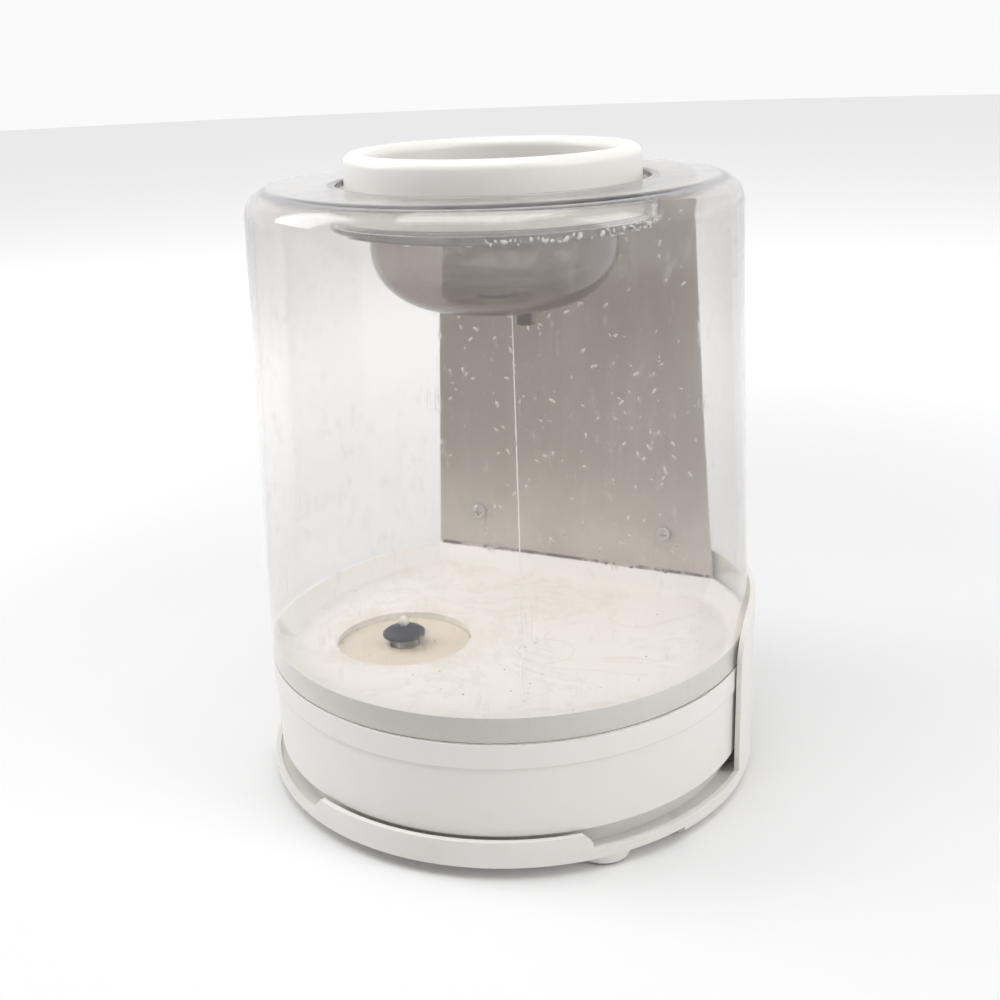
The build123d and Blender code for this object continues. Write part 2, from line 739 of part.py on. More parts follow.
with BuildPart() as tank_shell:
    with BuildSketch(Plane.XZ) as section:
        with BuildLine():
            Polyline((tank_radius, base_height), (top_radius, tank_top), (well_radius, tank_top),
                     (well_radius, ledge_level), (bowl_radius + slip_gap, ledge_level),
                     (bowl_radius + slip_gap, ledge_level - shell_wall),
                     (well_radius + shell_wall, ledge_level - shell_wall),
                     (well_radius + shell_wall, tank_top - shell_wall),
                     (inner_top_radius, tank_top - shell_wall),
                     (shell_inner, base_height), close=True)
        make_face()
        fillet(section.vertices().filter_by(
            lambda v: v.X > top_radius - 0.1 and v.Y > tank_top - 0.1), shoulder_radius)
        fillet(section.vertices().filter_by(
            lambda v: abs(v.X - inner_top_radius) < 0.1 and v.Y > ledge_level), shoulder_radius - shell_wall)
        fillet(section.vertices().filter_by(
            lambda v: abs(v.X - well_radius) < 0.1 and v.Y > tank_top - 0.1), 1.2)
    revolve(axis=Axis.Z)
    # the mist channel's walls, from the recess back to the partition
    with BuildSketch(Plane.XY.offset(ledge_level - shell_wall)):
        with Locations((0, (well_radius - 1 + partition_distance) / 2)):
            Rectangle(channel_width + 2 * shell_wall, partition_distance - well_radius + 1)
        Circle(well_radius + 0.5, mode=Mode.SUBTRACT)
    extrude(amount=tank_top - shell_wall / 2 - ledge_level + shell_wall)
    with BuildSketch(Plane.XY.offset(channel_floor)):
        with Locations((0, partition_distance - 9)):
            Rectangle(channel_width, 26)
        Circle(well_radius - 4, mode=Mode.SUBTRACT)
    extrude(amount=tank_top - shell_wall - channel_floor, mode=Mode.SUBTRACT)
save(tank_shell, "tank_shell")

boss_x = 50.4
boss_z = 90.6
boss_depth = 8.0

with BuildPart() as tank_dish:
    with BuildSketch(Plane.XY.offset(skirt_bottom)):
        Circle(skirt_radius)
    extrude(amount=base_height - 0.2 - skirt_bottom)
    with BuildSketch(Plane.XY.offset(base_height - skirt_step)):
        Circle(tank_radius - 0.1)
    extrude(amount=skirt_step - 0.2)
    with BuildSketch(Plane.XY.offset(base_height - 0.2)):
        Circle(curb_outer)
    extrude(amount=curb_height + 0.2)
    with BuildSketch(Plane.XY.offset(skirt_bottom)):
        Circle(skirt_radius - skirt_wall)
    extrude(amount=floor_underside - skirt_bottom, mode=Mode.SUBTRACT)
    # the pocket that makes the tank's floor, with a flat back
    with BuildSketch(Plane.XY.offset(curb_top)):
        Circle(curb_inner)
        with Locations((0, partition_distance - 1.5 + 60)):
            Rectangle(300, 120, mode=Mode.SUBTRACT)
    extrude(amount=-(curb_top - tank_floor_level), taper=curb_slope, mode=Mode.SUBTRACT)
    pocket_foot = tank_dish.edges().filter_by(
        lambda e: abs(e.center().Z - tank_floor_level) < 0.01 and e.length > 100)
    fillet(pocket_foot, radius=curb_fillet)
    # the chimney's pocket behind the partition
    with BuildSketch(Plane.XY.offset(tank_floor_level)):
        Circle(curb_inner)
        with Locations((0, partition_back + 1.5 - 60)):
            Rectangle(300, 120, mode=Mode.SUBTRACT)
    extrude(amount=curb_top - tank_floor_level, mode=Mode.SUBTRACT)
    # posts that take the partition's screws
    with BuildSketch(Plane.XY.offset(floor_underside)):
        with Locations((-boss_x, partition_back + boss_depth / 2), (boss_x, partition_back + boss_depth / 2)):
            Rectangle(9, boss_depth)
    extrude(amount=boss_z + 5 - floor_underside)
    with BuildSketch(at_back(partition_back)):
        with Locations((-boss_x, boss_z), (boss_x, boss_z)):
            Circle(1.6)
    extrude(amount=-(boss_depth - 1.5), mode=Mode.SUBTRACT)
    # mist inlet over the nozzle
    with BuildSketch(Plane.XY.offset(floor_underside)):
        with Locations((0, mist_y)):
            SlotOverall(mist_length + 5, mist_width + 5)
    extrude(amount=tank_floor_thickness, mode=Mode.SUBTRACT)
    # opening for the cap, with its neck below
    with BuildSketch(Plane.XY.offset(floor_underside - 8.6)):
        with Locations(cap_place):
            Circle(cap_opening + cap_wall)
    extrude(amount=8.6)
    with BuildSketch(Plane.XY.offset(floor_underside - 8.6)):
        with Locations(cap_place):
            Circle(cap_opening)
    extrude(amount=8.6 + tank_floor_thickness, mode=Mode.SUBTRACT)
    # moulding mark on the floor
    with BuildSketch(Plane.XY.offset(tank_floor_level)):
        with Locations((25.0, -15.8)):
            Circle(13.0)
            Circle(12.2, mode=Mode.SUBTRACT)
    extrude(amount=-0.3, mode=Mode.SUBTRACT)
    # the skirt is cut away behind, over the control panel
    with BuildSketch(at_back(tray_radius)):
        with Locations((0, (skirt_bottom + floor_underside) / 2 - 1)):
            Rectangle(2 * panel_half_width + 4, floor_underside - skirt_bottom + 2)
    extrude(amount=tray_radius - 80, mode=Mode.SUBTRACT)
save(tank_dish, "tank_dish")

partition_fit = 0.15

with BuildPart() as partition_panel:
    with BuildSketch(Plane.XZ) as profile:
        with BuildLine():
            Polyline((0, curb_top + 0.2), (shell_inner - taper_slope * curb_height - partition_fit, curb_top + 0.2),
                     (inner_top_radius - partition_fit, tank_top - shell_wall - partition_fit),
                     (0, tank_top - shell_wall - partition_fit), close=True)
        make_face()
        fillet(profile.vertices().filter_by(
            lambda v: v.X > inner_top_radius - 1 and v.Y > ledge_level), shoulder_radius - shell_wall)
    revolve(axis=Axis.Z)
    split(bisect_by=Plane.XZ.offset(-partition_distance), keep=Keep.BOTTOM)
    split(bisect_by=Plane.XZ.offset(-partition_back), keep=Keep.TOP)
    # notch over the mist channel, and the screw holes
    with BuildSketch(at_back(partition_back + 1)):
        with Locations((0, channel_floor + 20)):
            Rectangle(channel_width, 40)
        with Locations((-boss_x, boss_z), (boss_x, boss_z)):
            Circle(1.9)
    extrude(amount=partition_thickness + 2, mode=Mode.SUBTRACT)
save(partition_panel, "partition_panel")

with BuildPart() as panel_screws:
    with BuildSketch(at_back(partition_distance)):
        with Locations((-boss_x, boss_z), (boss_x, boss_z)):
            Circle(3.6)
    extrude(amount=2.2)
    fillet(panel_screws.edges().group_by(Axis.Y)[0], radius=1.2)
    with BuildSketch(at_back(partition_distance - 2.2)):
        with Locations((-boss_x, boss_z), (boss_x, boss_z)):
            Rectangle(4, 0.9)
            Rectangle(0.9, 4)
    extrude(amount=-1.0, mode=Mode.SUBTRACT)
    with BuildSketch(at_back(partition_distance)):
        with Locations((-boss_x, boss_z), (boss_x, boss_z)):
            Circle(1.6)
    extrude(amount=-7.5)
save(panel_screws, "panel_screws")

bead_reach = sqrt((shell_inner - 1.0) ** 2 - partition_distance ** 2) - 1.0

with BuildPart() as bond_bead:
    with BuildSketch(Plane.YZ.offset(-bead_reach)):
        with Locations((partition_distance, curb_top)):
            with BuildLine():
                corner = Polyline((partition_distance, curb_top + 1.3), (partition_distance, curb_top),
                                  (partition_distance - 1.2, curb_top))
                Line(corner @ 1, corner @ 0)
            make_face()
    extrude(amount=2 * bead_reach)
save(bond_bead, "bond_bead")

# ---------------------------------------------------------------- drip bowl and mist collar
corner_start = ledge_level - 12.5
corner_width = bowl_radius - bowl_flat_radius
corner_drop = corner_start - (ledge_level - bowl_depth)
bowl_bottom = ledge_level - bowl_depth
flange_radius = well_radius - 0.7

with BuildPart() as drip_bowl:
    with BuildSketch(Plane.XZ):
        with BuildLine():
            outer_wall = Line((bowl_radius, ledge_level), (bowl_radius, corner_start))
            outer_turn = EllipticalCenterArc((bowl_flat_radius, corner_start), corner_width, corner_drop,
                                             start_angle=270, arc_size=90)
            outer_flat = Line(outer_turn @ 0, (0, bowl_bottom))
            axis_line = Line(outer_flat @ 1, (0, bowl_bottom + 3.6))
            mark_top = Line(axis_line @ 1, (8.8, bowl_bottom + 3.6))
            mark_side = Line(mark_top @ 1, (8.8, bowl_bottom + bowl_wall))
            inner_flat = Line(mark_side @ 1, (bowl_flat_radius, bowl_bottom + bowl_wall))
            inner_turn = EllipticalCenterArc((bowl_flat_radius, corner_start), corner_width - bowl_wall,
                                             corner_drop - bowl_wall, start_angle=270, arc_size=90)
            inner_wall = Line(inner_turn @ 1, (bowl_radius - bowl_wall, ledge_level + bowl_flange))
            flange_top = Line(inner_wall @ 1, (flange_radius, ledge_level + bowl_flange))
            flange_edge = Line(flange_top @ 1, (flange_radius, ledge_level))
            Line(flange_edge @ 1, outer_wall @ 0)
        make_face()
    revolve(axis=Axis.Z)
    with BuildSketch(Plane.XY.offset(bowl_bottom)):
        with Locations(nub_place):
            Circle(5.0)
    extrude(amount=-nub_length, taper=4)
save(drip_bowl, "drip_bowl")

collar_bottom = ledge_level + bowl_flange + seat_gap
collar_top = collar_bottom + collar_height
rim_middle = (collar_radius - 0.8 + collar_bore) / 2

with BuildPart() as mist_collar:
    with BuildSketch(Plane.XZ) as collar_section:
        with BuildLine():
            Polyline((collar_radius, collar_bottom), (collar_radius - 0.8, collar_top),
                     (collar_bore, collar_top), (collar_bore + 0.8, collar_bottom),
                     (collar_bore + 0.8 + collar_shell, collar_bottom),
                     (collar_bore + collar_shell, collar_top - 5.0),
                     (collar_radius - 0.8 - collar_shell, collar_top - 5.0),
                     (collar_radius - collar_shell, collar_bottom), close=True)
        make_face()
        fillet(collar_section.vertices().filter_by(lambda v: v.Y > collar_top - 0.1), 4.2)
    revolve(axis=Axis.Z)
    # the back of its skirt is open to the mist channel
    with BuildSketch(Plane.XY.offset(collar_bottom)):
        with Locations((0, collar_radius)):
            Rectangle(channel_width - 8, 60)
    extrude(amount=tank_top - shell_wall - collar_bottom, mode=Mode.SUBTRACT)
save(mist_collar, "mist_collar")

# ---------------------------------------------------------------- cap and valve
port_radius = 7.0
cap_disc = 3.0
neck_bottom = floor_underside - 8.6
web_top = neck_bottom - 2.2
skirt_in = cap_opening + cap_wall + slip_gap
spider_top = cap_face - 8.2

with BuildPart() as tank_cap:
    with BuildSketch(Plane.XZ) as cap_section:
        with BuildLine():
            Polyline((port_radius, cap_face), (cap_opening - slip_gap, cap_face),
                     (cap_opening - slip_gap, web_top), (skirt_in, web_top),
                     (skirt_in, neck_bottom + 6), (skirt_in + 2.4, neck_bottom + 6),
                     (skirt_in + 2.4, web_top - 2.2), (cap_opening - slip_gap - 2.5, web_top - 2.2),
                     (cap_opening - slip_gap - 2.5, cap_face - cap_disc),
                     (port_radius + 2, cap_face - cap_disc), (port_radius + 2, spider_top - 1.6),
                     (port_radius, spider_top - 1.6), close=True)
        make_face()
    revolve(axis=Axis.Z)
    # valve seat, the spider that guides the pin, and grips round the skirt
    with BuildSketch(Plane.XY.offset(cap_face)):
        Circle(port_radius + 1.5)
        Circle(port_radius, mode=Mode.SUBTRACT)
    extrude(amount=seat_height)
    with BuildSketch(Plane.XY.offset(spider_top)):
        Rectangle(2 * port_radius + 1, 2)
        Rectangle(2, 2 * port_radius + 1)
        Circle(3.2)
        Circle(pin_radius + running_gap, mode=Mode.SUBTRACT)
    extrude(amount=-1.6)
    with BuildSketch(Plane.XY.offset(web_top - 2.2)):
        with PolarLocations(skirt_in + 2.4, 24):
            Rectangle(1.6, 3)
    extrude(amount=neck_bottom + 6 - web_top + 2.2)
tank_cap.part.position += Vector(*cap_place, 0)
save(tank_cap, "tank_cap")

with BuildPart() as cap_gasket:
    with BuildSketch(Plane.XY.offset(web_top)):
        with Locations(cap_place):
            Circle(cap_opening + cap_wall)
            Circle(cap_opening, mode=Mode.SUBTRACT)
    extrude(amount=neck_bottom - seat_gap - web_top)
save(cap_gasket, "cap_gasket")

pin_bottom = post_top + seat_gap
ball_radius = 2.45
seal_height = 4.6

with BuildPart() as valve_plunger:
    with BuildSketch(Plane.XY.offset(pin_bottom)):
        with Locations(cap_place):
            Circle(pin_radius)
    extrude(amount=seal_level + seal_height - pin_bottom)
    with BuildSketch(Plane.XY.offset(spider_top + valve_lift + 0.6)):
        with Locations(cap_place):
            Rectangle(2 * port_radius - 1.2, 1.4)
            Rectangle(1.4, 2 * port_radius - 1.2)
    extrude(amount=seal_level - spider_top - valve_lift - 0.6)
    with Locations((*cap_place, seal_level + seal_height + ball_radius * 0.8)):
        Sphere(ball_radius)
save(valve_plunger, "valve_plunger")

with BuildPart() as valve_seal:
    with BuildSketch(Plane.XZ) as seal_section:
        with BuildLine():
            foot = Line((pin_radius, seal_level), (valve_seal_radius, seal_level))
            lip = Line(foot @ 1, (valve_seal_radius, seal_level + 1.4))
            crown = ThreePointArc(lip @ 1, (6.2, seal_level + 3.6), (pin_radius, seal_level + seal_height))
            Line(crown @ 1, foot @ 0)
        make_face()
    revolve(axis=Axis.Z)
valve_seal.part.position += Vector(*cap_place, 0)
save(valve_seal, "valve_seal")

clip_top = pin_bottom + 2.4

with BuildPart() as valve_clip:
    with BuildSketch(Plane.XY.offset(clip_top)):
        with Locations(cap_place):
            Circle(4.0)
            Circle(pin_radius, mode=Mode.SUBTRACT)
    extrude(amount=-1.0)
save(valve_clip, "valve_clip")

spring_turns = 4
spring_top = spider_top - 1.6 - 0.4
spring_bottom = clip_top + 0.4
spring_radius = 2.9
spring_wire = 0.3

with BuildPart() as valve_spring:
    with BuildLine():
        coil = Helix((spring_top - spring_bottom) / spring_turns, spring_top - spring_bottom, spring_radius,
                     center=(0, 0, spring_bottom))
    with BuildSketch(Plane(origin=coil @ 0, z_dir=coil % 0)):
        Circle(spring_wire)
    sweep()
valve_spring.part.position += Vector(*cap_place, 0)
save(valve_spring, "valve_spring")

# ---------------------------------------------------------------- thread hanging from the bowl
# It hangs straight from the bowl's bottom and its tail lies on the tank's floor.
thread_radius = 0.25
thread_top = 214.0
thread_floor = 63.15
thread_route = [(17.3, -23.4, thread_top), (17.3, -23.4, thread_floor), (24.0, -42.5, thread_floor),
                (36.6, -66.0, thread_floor)]


def corner_radii(route):
    """Largest arc that each corner's two runs allow."""
    radii = []
    for before, here, after in zip(route, route[1:], route[2:]):
        run_in = Vector(*here) - Vector(*before)
        run_out = Vector(*after) - Vector(*here)
        turn = radians(run_in.get_angle(run_out))
        radii.append(0.45 * min(run_in.length, run_out.length) / tan(turn / 2))
    return radii


thread_radii = corner_radii(thread_route)
print("thread corner radii", [round(r, 1) for r in thread_radii])

with BuildPart() as drip_thread:
    with BuildLine() as thread_line:
        FilletPolyline(*thread_route, radius=thread_radii)
    with BuildSketch(Plane(origin=thread_line.line @ 0, z_dir=thread_line.line % 0)):
        Circle(thread_radius)
    sweep()
print("thread length", round(sum(edge.length for edge in thread_line.edges()), 1))
save(drip_thread, "drip_thread")
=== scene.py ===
import json
from math import cos, pi, radians, sin, tan

import bmesh
import bpy
from mathutils import Matrix, Vector


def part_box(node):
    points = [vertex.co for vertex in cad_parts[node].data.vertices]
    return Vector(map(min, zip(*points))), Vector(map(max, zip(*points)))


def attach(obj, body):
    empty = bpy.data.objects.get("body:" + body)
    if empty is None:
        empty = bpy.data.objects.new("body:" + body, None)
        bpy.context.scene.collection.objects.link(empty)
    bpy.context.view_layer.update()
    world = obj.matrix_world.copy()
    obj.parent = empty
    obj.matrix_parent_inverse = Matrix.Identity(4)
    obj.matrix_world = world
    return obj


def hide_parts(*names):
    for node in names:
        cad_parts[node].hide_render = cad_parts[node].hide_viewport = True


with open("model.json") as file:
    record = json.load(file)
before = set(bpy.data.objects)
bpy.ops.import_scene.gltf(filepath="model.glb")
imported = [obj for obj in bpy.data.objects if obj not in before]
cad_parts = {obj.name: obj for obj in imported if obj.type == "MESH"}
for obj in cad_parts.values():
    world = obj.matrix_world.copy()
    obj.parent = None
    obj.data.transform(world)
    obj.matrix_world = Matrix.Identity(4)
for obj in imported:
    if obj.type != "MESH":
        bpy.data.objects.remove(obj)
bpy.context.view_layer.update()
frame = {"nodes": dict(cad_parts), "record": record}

bl_info = {
    "name": "Cool mist humidifier",
    "version": (1, 0, 0),
    "blender": (4, 5, 0),
    "location": "3D View > Sidebar > Humidifier",
    "description": "Clear tank humidifier on a moulded mist base, piece by piece",
    "category": "Object",
}

MM = 0.001
NODES = frame["nodes"]
LOW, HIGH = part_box("tank_shell")
SHELL_FOOT = LOW.z / MM
SHELL_TOP = HIGH.z / MM
SHELL_RADIUS = HIGH.x / MM
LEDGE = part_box("drip_bowl")[1].z / MM - 2.0
PANEL_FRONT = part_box("partition_panel")[0].y / MM
CURB_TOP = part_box("bond_bead")[0].z / MM
FLOOR_LEVEL = 62.8
WELL_RADIUS = 65.7  # the recess in the tank's top
BOWL_ARC_STEPS = 14
LIGHT_BOUNCES = 24  # enough to get through the clear walls
CAP_X = (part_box("tank_cap")[0].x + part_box("tank_cap")[1].x) / 2 / MM
CAP_Y = (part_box("tank_cap")[0].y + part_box("tank_cap")[1].y) / 2 / MM


# ---------------------------------------------------------------- sizes and colours
class HumidifierSizes(bpy.types.PropertyGroup):
    """Sizes of the finishing detail, over the fixed frame."""
    turned_steps: bpy.props.IntProperty(
        name="Turned steps", description="Faces round a turned piece", default=224, min=48, max=360)
    shell_wall: bpy.props.FloatProperty(
        name="Shell wall", description="Thickness of the clear tank's wall", default=0.003, unit="LENGTH")
    shoulder: bpy.props.FloatProperty(
        name="Shoulder", description="Radius of the tank's rounded shoulder", default=0.011, unit="LENGTH")
    edge_round: bpy.props.FloatProperty(
        name="Edge round", description="Rounding of moulded edges", default=0.00035, unit="LENGTH")
    thread: bpy.props.FloatProperty(
        name="Thread", description="Thickness of the hanging thread", default=0.0005, unit="LENGTH")
    crust_grains: bpy.props.FloatProperty(
        name="Crust", description="Mineral grains on each square metre of the ledge", default=640000.0)
    panel_flecks: bpy.props.FloatProperty(
        name="Flecks", description="Pale flecks on each square metre of the panel", default=14000.0)
    floor_grains: bpy.props.FloatProperty(
        name="Floor grains", description="Specks on each square metre of the tank's floor", default=5200.0)


class HumidifierColours(bpy.types.PropertyGroup):
    """Colours of the object's plastics."""
    white: bpy.props.FloatVectorProperty(
        name="White", description="Moulded base and tank floor", default=(0.86, 0.84, 0.805),
        size=3, subtype="COLOR")
    ivory: bpy.props.FloatVectorProperty(
        name="Ivory", description="Mist collar", default=(0.96, 0.955, 0.91), size=3, subtype="COLOR")
    cream: bpy.props.FloatVectorProperty(
        name="Cream", description="Tank cap", default=(0.74, 0.665, 0.56), size=3, subtype="COLOR")
    panel: bpy.props.FloatVectorProperty(
        name="Panel", description="Partition panel", default=(0.365, 0.322, 0.280), size=3, subtype="COLOR")


def sizes():
    return bpy.context.scene.humidifier_sizes


def colours():
    return bpy.context.scene.humidifier_colours


# ---------------------------------------------------------------- shader maths
class Value:
    """The output of a node, so that maths on it reads as an expression."""

    def __init__(self, finish, socket):
        self.finish = finish
        self.socket = socket

    def math(self, operation, *others, clamp=False):
        return self.finish.node("ShaderNodeMath", {"operation": operation, "use_clamp": clamp},
                                {i: v for i, v in enumerate(others)})

    def __add__(self, other):
        return self.math("ADD", self, other)

    __radd__ = __add__

    def __sub__(self, other):
        return self.math("SUBTRACT", self, other)

    def __rsub__(self, other):
        return self.math("SUBTRACT", other, self)

    def __mul__(self, other):
        return self.math("MULTIPLY", self, other)

    __rmul__ = __mul__

    def __pow__(self, other):
        return self.math("POWER", self, other)

    def clamp(self):
        return self.math("ADD", self, 0.0, clamp=True)

    def most(self, other):
        return self.math("MAXIMUM", self, other)

    def step(self, low, high):
        """0 below low and 1 above high, with a soft change between them. Low may be the larger."""
        return self.finish.node("ShaderNodeMapRange", {"interpolation_type": "SMOOTHSTEP"},
                                {"Value": self, "From Min": low, "From Max": high})


class Finish:
    """A material being made: its node tree and short ways to add to it."""

    def __init__(self, name):
        self.material = bpy.data.materials.new(name)
        self.material.use_nodes = True
        self.tree = self.material.node_tree
        self.tree.nodes.clear()
        self.output = self.tree.nodes.new("ShaderNodeOutputMaterial")
        self.shader = self.tree.nodes.new("ShaderNodeBsdfPrincipled")
        self.tree.links.new(self.shader.outputs[0], self.output.inputs["Surface"])
        self.place = self.node("ShaderNodeTexCoord", {}, {}, "Object")
        parts = self.tree.nodes.new("ShaderNodeSeparateXYZ")
        self.tree.links.new(self.place.socket, parts.inputs[0])
        self.x, self.y, self.z = (Value(self, parts.outputs[i]) for i in range(3))

    def feed(self, socket, value):
        if isinstance(value, Value):
            self.tree.links.new(value.socket, socket)
        elif isinstance(value, (tuple, list)) and len(value) == 3 and socket.type == "RGBA":
            socket.default_value = (*value, 1.0)
        else:
            socket.default_value = value

    def node(self, kind, settings, feeds, output=0):
        """Adds a node: its settings first, then the values or links of its inputs."""
        made = self.tree.nodes.new(kind)
        for key, setting in settings.items():
            if key == "stops":
                ramp = made.color_ramp
                while len(ramp.elements) < len(setting):
                    ramp.elements.new(0.5)
                for element, (position, colour) in zip(ramp.elements, setting):
                    element.position = position
                    element.color = (*colour, 1.0)
            else:
                setattr(made, key, setting)
        for key, value in feeds.items():
            self.feed(made.inputs[key], value)
        return Value(self, made.outputs[output])

    def noise(self, scale, detail=3.0, roughness=0.55, place=None, distortion=0.0):
        return self.node("ShaderNodeTexNoise", {}, {
            "Vector": place or self.place, "Scale": scale, "Detail": detail, "Roughness": roughness,
            "Distortion": distortion})

    def cells(self, scale, place=None, output="Distance", randomness=1.0):
        return self.node("ShaderNodeTexVoronoi", {}, {
            "Vector": place or self.place, "Scale": scale, "Randomness": randomness}, output)

    def stretched(self, x, y, z, turn=(0.0, 0.0, 0.0)):
        return self.node("ShaderNodeMapping", {}, {
            "Vector": self.place, "Rotation": tuple(turn), "Scale": (x, y, z)})

    def mix(self, factor, first, second):
        made = self.tree.nodes.new("ShaderNodeMix")
        made.data_type = "RGBA"
        self.feed(made.inputs[0], factor)
        self.feed(made.inputs[6], first)
        self.feed(made.inputs[7], second)
        return Value(self, made.outputs[2])

    def centred(self, x, y):
        """Distance in metres from a vertical axis."""
        across = self.x - x
        along = self.y - y
        return (across * across + along * along) ** 0.5

    def bump(self, height, strength, distance=0.001, under=None):
        feeds = {"Height": height, "Strength": strength, "Distance": distance}
        if under is not None:
            feeds["Normal"] = under
        return self.node("ShaderNodeBump", {}, feeds)

    def set(self, **feeds):
        for key, value in feeds.items():
            self.feed(self.shader.inputs[key.replace("_", " ").title().replace("Ior", "IOR")], value)
        return self

    def scratches(self, scale, width, turns=(0.3, 1.2, 2.1)):
        """Thin lines in a few directions, 0 to 1."""
        total = None
        for turn in turns:
            lane = self.stretched(1.0, 0.035, 0.06, (turn * 0.7, turn * 0.4, turn))
            line = self.noise(scale, 2.0, 0.5, lane).step(0.5 + width, 0.5)
            other = self.noise(scale * 1.13, 2.0, 0.5, lane).step(0.5 - width, 0.5)
            line = line * other * self.noise(60.0 + 17 * turn, 3.0).step(0.60, 0.70)
            total = line if total is None else total.most(line)
        return total


# ---------------------------------------------------------------- finishes
def moulded(name, colour, roughness=0.36, dirt=0.5, grain=0.06, wear=0.5, sheen=0.12):
    """Injection moulded plastic: uneven tone, fine grain, rubbed scratches and settled grime."""
    f = Finish(name)
    tone = f.noise(9.0, 4.0, 0.6)
    fine = f.noise(900.0, 2.0)
    marks = f.scratches(420.0, 0.008) * wear
    cloud = f.noise(34.0, 5.0, 0.65).step(0.55, 0.78) * dirt
    specks = f.cells(240.0).step(0.11, 0.05) * f.noise(21.0, 2.0).step(0.5, 0.7) * dirt
    darker = tuple(c * k for c, k in zip(colour, (0.90, 0.885, 0.85)))
    grime = tuple(c * k for c, k in zip(colour, (0.74, 0.70, 0.62)))
    shade = f.mix(tone.step(0.3, 0.75) * 0.5, colour, darker)
    shade = f.mix(cloud * 0.35, shade, grime)
    shade = f.mix(specks * 0.55, shade, tuple(c * 0.45 for c in colour))
    shade = f.mix(marks * 0.10, shade, tuple(min(1.0, c * 1.06) for c in colour))
    f.set(base_color=shade, roughness=roughness + 0.10 * tone + 0.16 * marks + 0.12 * cloud,
          specular_ior_level=0.42, normal=f.bump(fine + 0.6 * tone - 0.8 * marks, grain, 0.0005))
    f.shader.inputs["Coat Weight"].default_value = sheen
    f.shader.inputs["Coat Roughness"].default_value = 0.18
    f.shader.inputs["Subsurface Weight"].default_value = 0.05
    f.shader.inputs["Subsurface Radius"].default_value = (0.004, 0.0035, 0.003)
    return f.material


def tank_floor_white():
    """The tank's floor and skirt: scale stains and specks where water stood, plain outside but for a painted
    shade line along the skirt's foot.
    """
    f = Finish("tank_floor_white")
    colour = tuple(colours().white)
    axis = f.centred(0.0, 0.0)
    floor = f.z.step(0.0640, 0.0632) * axis.step(0.1045, 0.1030) * f.z.step(0.0600, 0.0622)
    tone = f.noise(7.0, 5.0, 0.62)
    tide = f.noise(16.0, 6.0, 0.7, distortion=1.4)
    rings = (tide - 0.5).math("ABSOLUTE", tide - 0.5).step(0.035, 0.0)
    specks = f.cells(310.0).step(0.17, 0.08) * f.noise(30.0, 3.0).step(0.42, 0.66)
    pale = f.cells(520.0).step(0.16, 0.06) * f.noise(44.0, 2.0).step(0.5, 0.62)
    edge_stain = axis.step(0.078, 0.1025) * f.noise(40.0, 4.0, 0.7).step(0.3, 0.7)
    near_cap = f.centred(CAP_X * MM, CAP_Y * MM).step(0.046, 0.031) * f.noise(60.0, 4.0).step(0.3, 0.75)
    marks = f.scratches(380.0, 0.008)
    scale_colour = (0.70, 0.665, 0.615)
    duller = tuple(c * k for c, k in zip(colour, (0.93, 0.92, 0.89)))
    shade = f.mix(tone.step(0.35, 0.7) * 0.45, colour, duller)
    shade = f.mix(rings * floor * 0.30, shade, (0.66, 0.61, 0.545))
    shade = f.mix(edge_stain * floor * 0.45, shade, scale_colour)
    shade = f.mix(near_cap * floor * 0.35, shade, (0.64, 0.56, 0.45))
    shade = f.mix(specks * floor * 0.42, shade, (0.40, 0.36, 0.31))
    shade = f.mix(pale * floor * 0.5, shade, (0.92, 0.91, 0.89))
    shade = f.mix(marks * 0.10, shade, (0.88, 0.87, 0.85))
    # painted shade: a dark line along the skirt's foot, where the dish sits on the deck
    seam_shade = f.z.step(0.0502, 0.0499) * f.z.step(0.0493, 0.0496) * (1.0 - floor)
    shade = f.mix(seam_shade * 0.35, shade, (0.45, 0.43, 0.40))
    f.set(base_color=shade, roughness=0.34 + 0.22 * floor + 0.10 * tone + 0.15 * marks,
          specular_ior_level=0.42,
          normal=f.bump(f.noise(850.0, 2.0) + 0.8 * specks * floor - marks, 0.07, 0.0005))
    f.shader.inputs["Coat Weight"].default_value = 0.12
    f.shader.inputs["Coat Roughness"].default_value = 0.2
    return f.material


def panel_brown():
    """Smoked panel: darker upward, paler towards the bottom, rubbed and flecked."""
    f = Finish("panel_brown")
    colour = tuple(colours().panel)
    height = f.z
    low = height.step(0.135, 0.075)
    cloud = f.noise(18.0, 6.0, 0.68, distortion=0.6)
    runs = f.noise(120.0, 4.0, 0.6, f.stretched(1.0, 1.0, 0.07))
    haze = height.step(0.262, 0.225)
    marks = f.scratches(330.0, 0.010)
    fleck = f.cells(380.0).step(0.13, 0.05) * f.noise(26.0, 3.0).step(0.48, 0.62)
    smear = f.noise(30.0, 5.0, 0.75, f.stretched(0.5, 1.0, 1.0, (0.0, 0.5, 0.0))).step(0.60, 0.72)
    pale = (0.66, 0.615, 0.565)
    shade = f.mix(low * 0.85, colour, pale)
    shade = f.mix(cloud.step(0.35, 0.75) * 0.30, shade, tuple(c * 0.80 for c in colour))
    shade = f.mix(runs.step(0.48, 0.7) * 0.18, shade, (0.56, 0.53, 0.50))
    shade = f.mix((1.0 - haze) * 0.55, shade, (0.47, 0.43, 0.41))
    shade = f.mix(smear * 0.07, shade, (0.66, 0.64, 0.61))
    shade = f.mix(marks * 0.30, shade, (0.74, 0.72, 0.69))
    shade = f.mix(fleck * 0.55, shade, (0.80, 0.78, 0.75))
    f.set(base_color=shade, roughness=0.30 + 0.22 * cloud + 0.25 * smear, specular_ior_level=0.45,
          normal=f.bump(f.noise(700.0, 2.0) + 0.7 * cloud + fleck, 0.08, 0.0006))
    return f.material


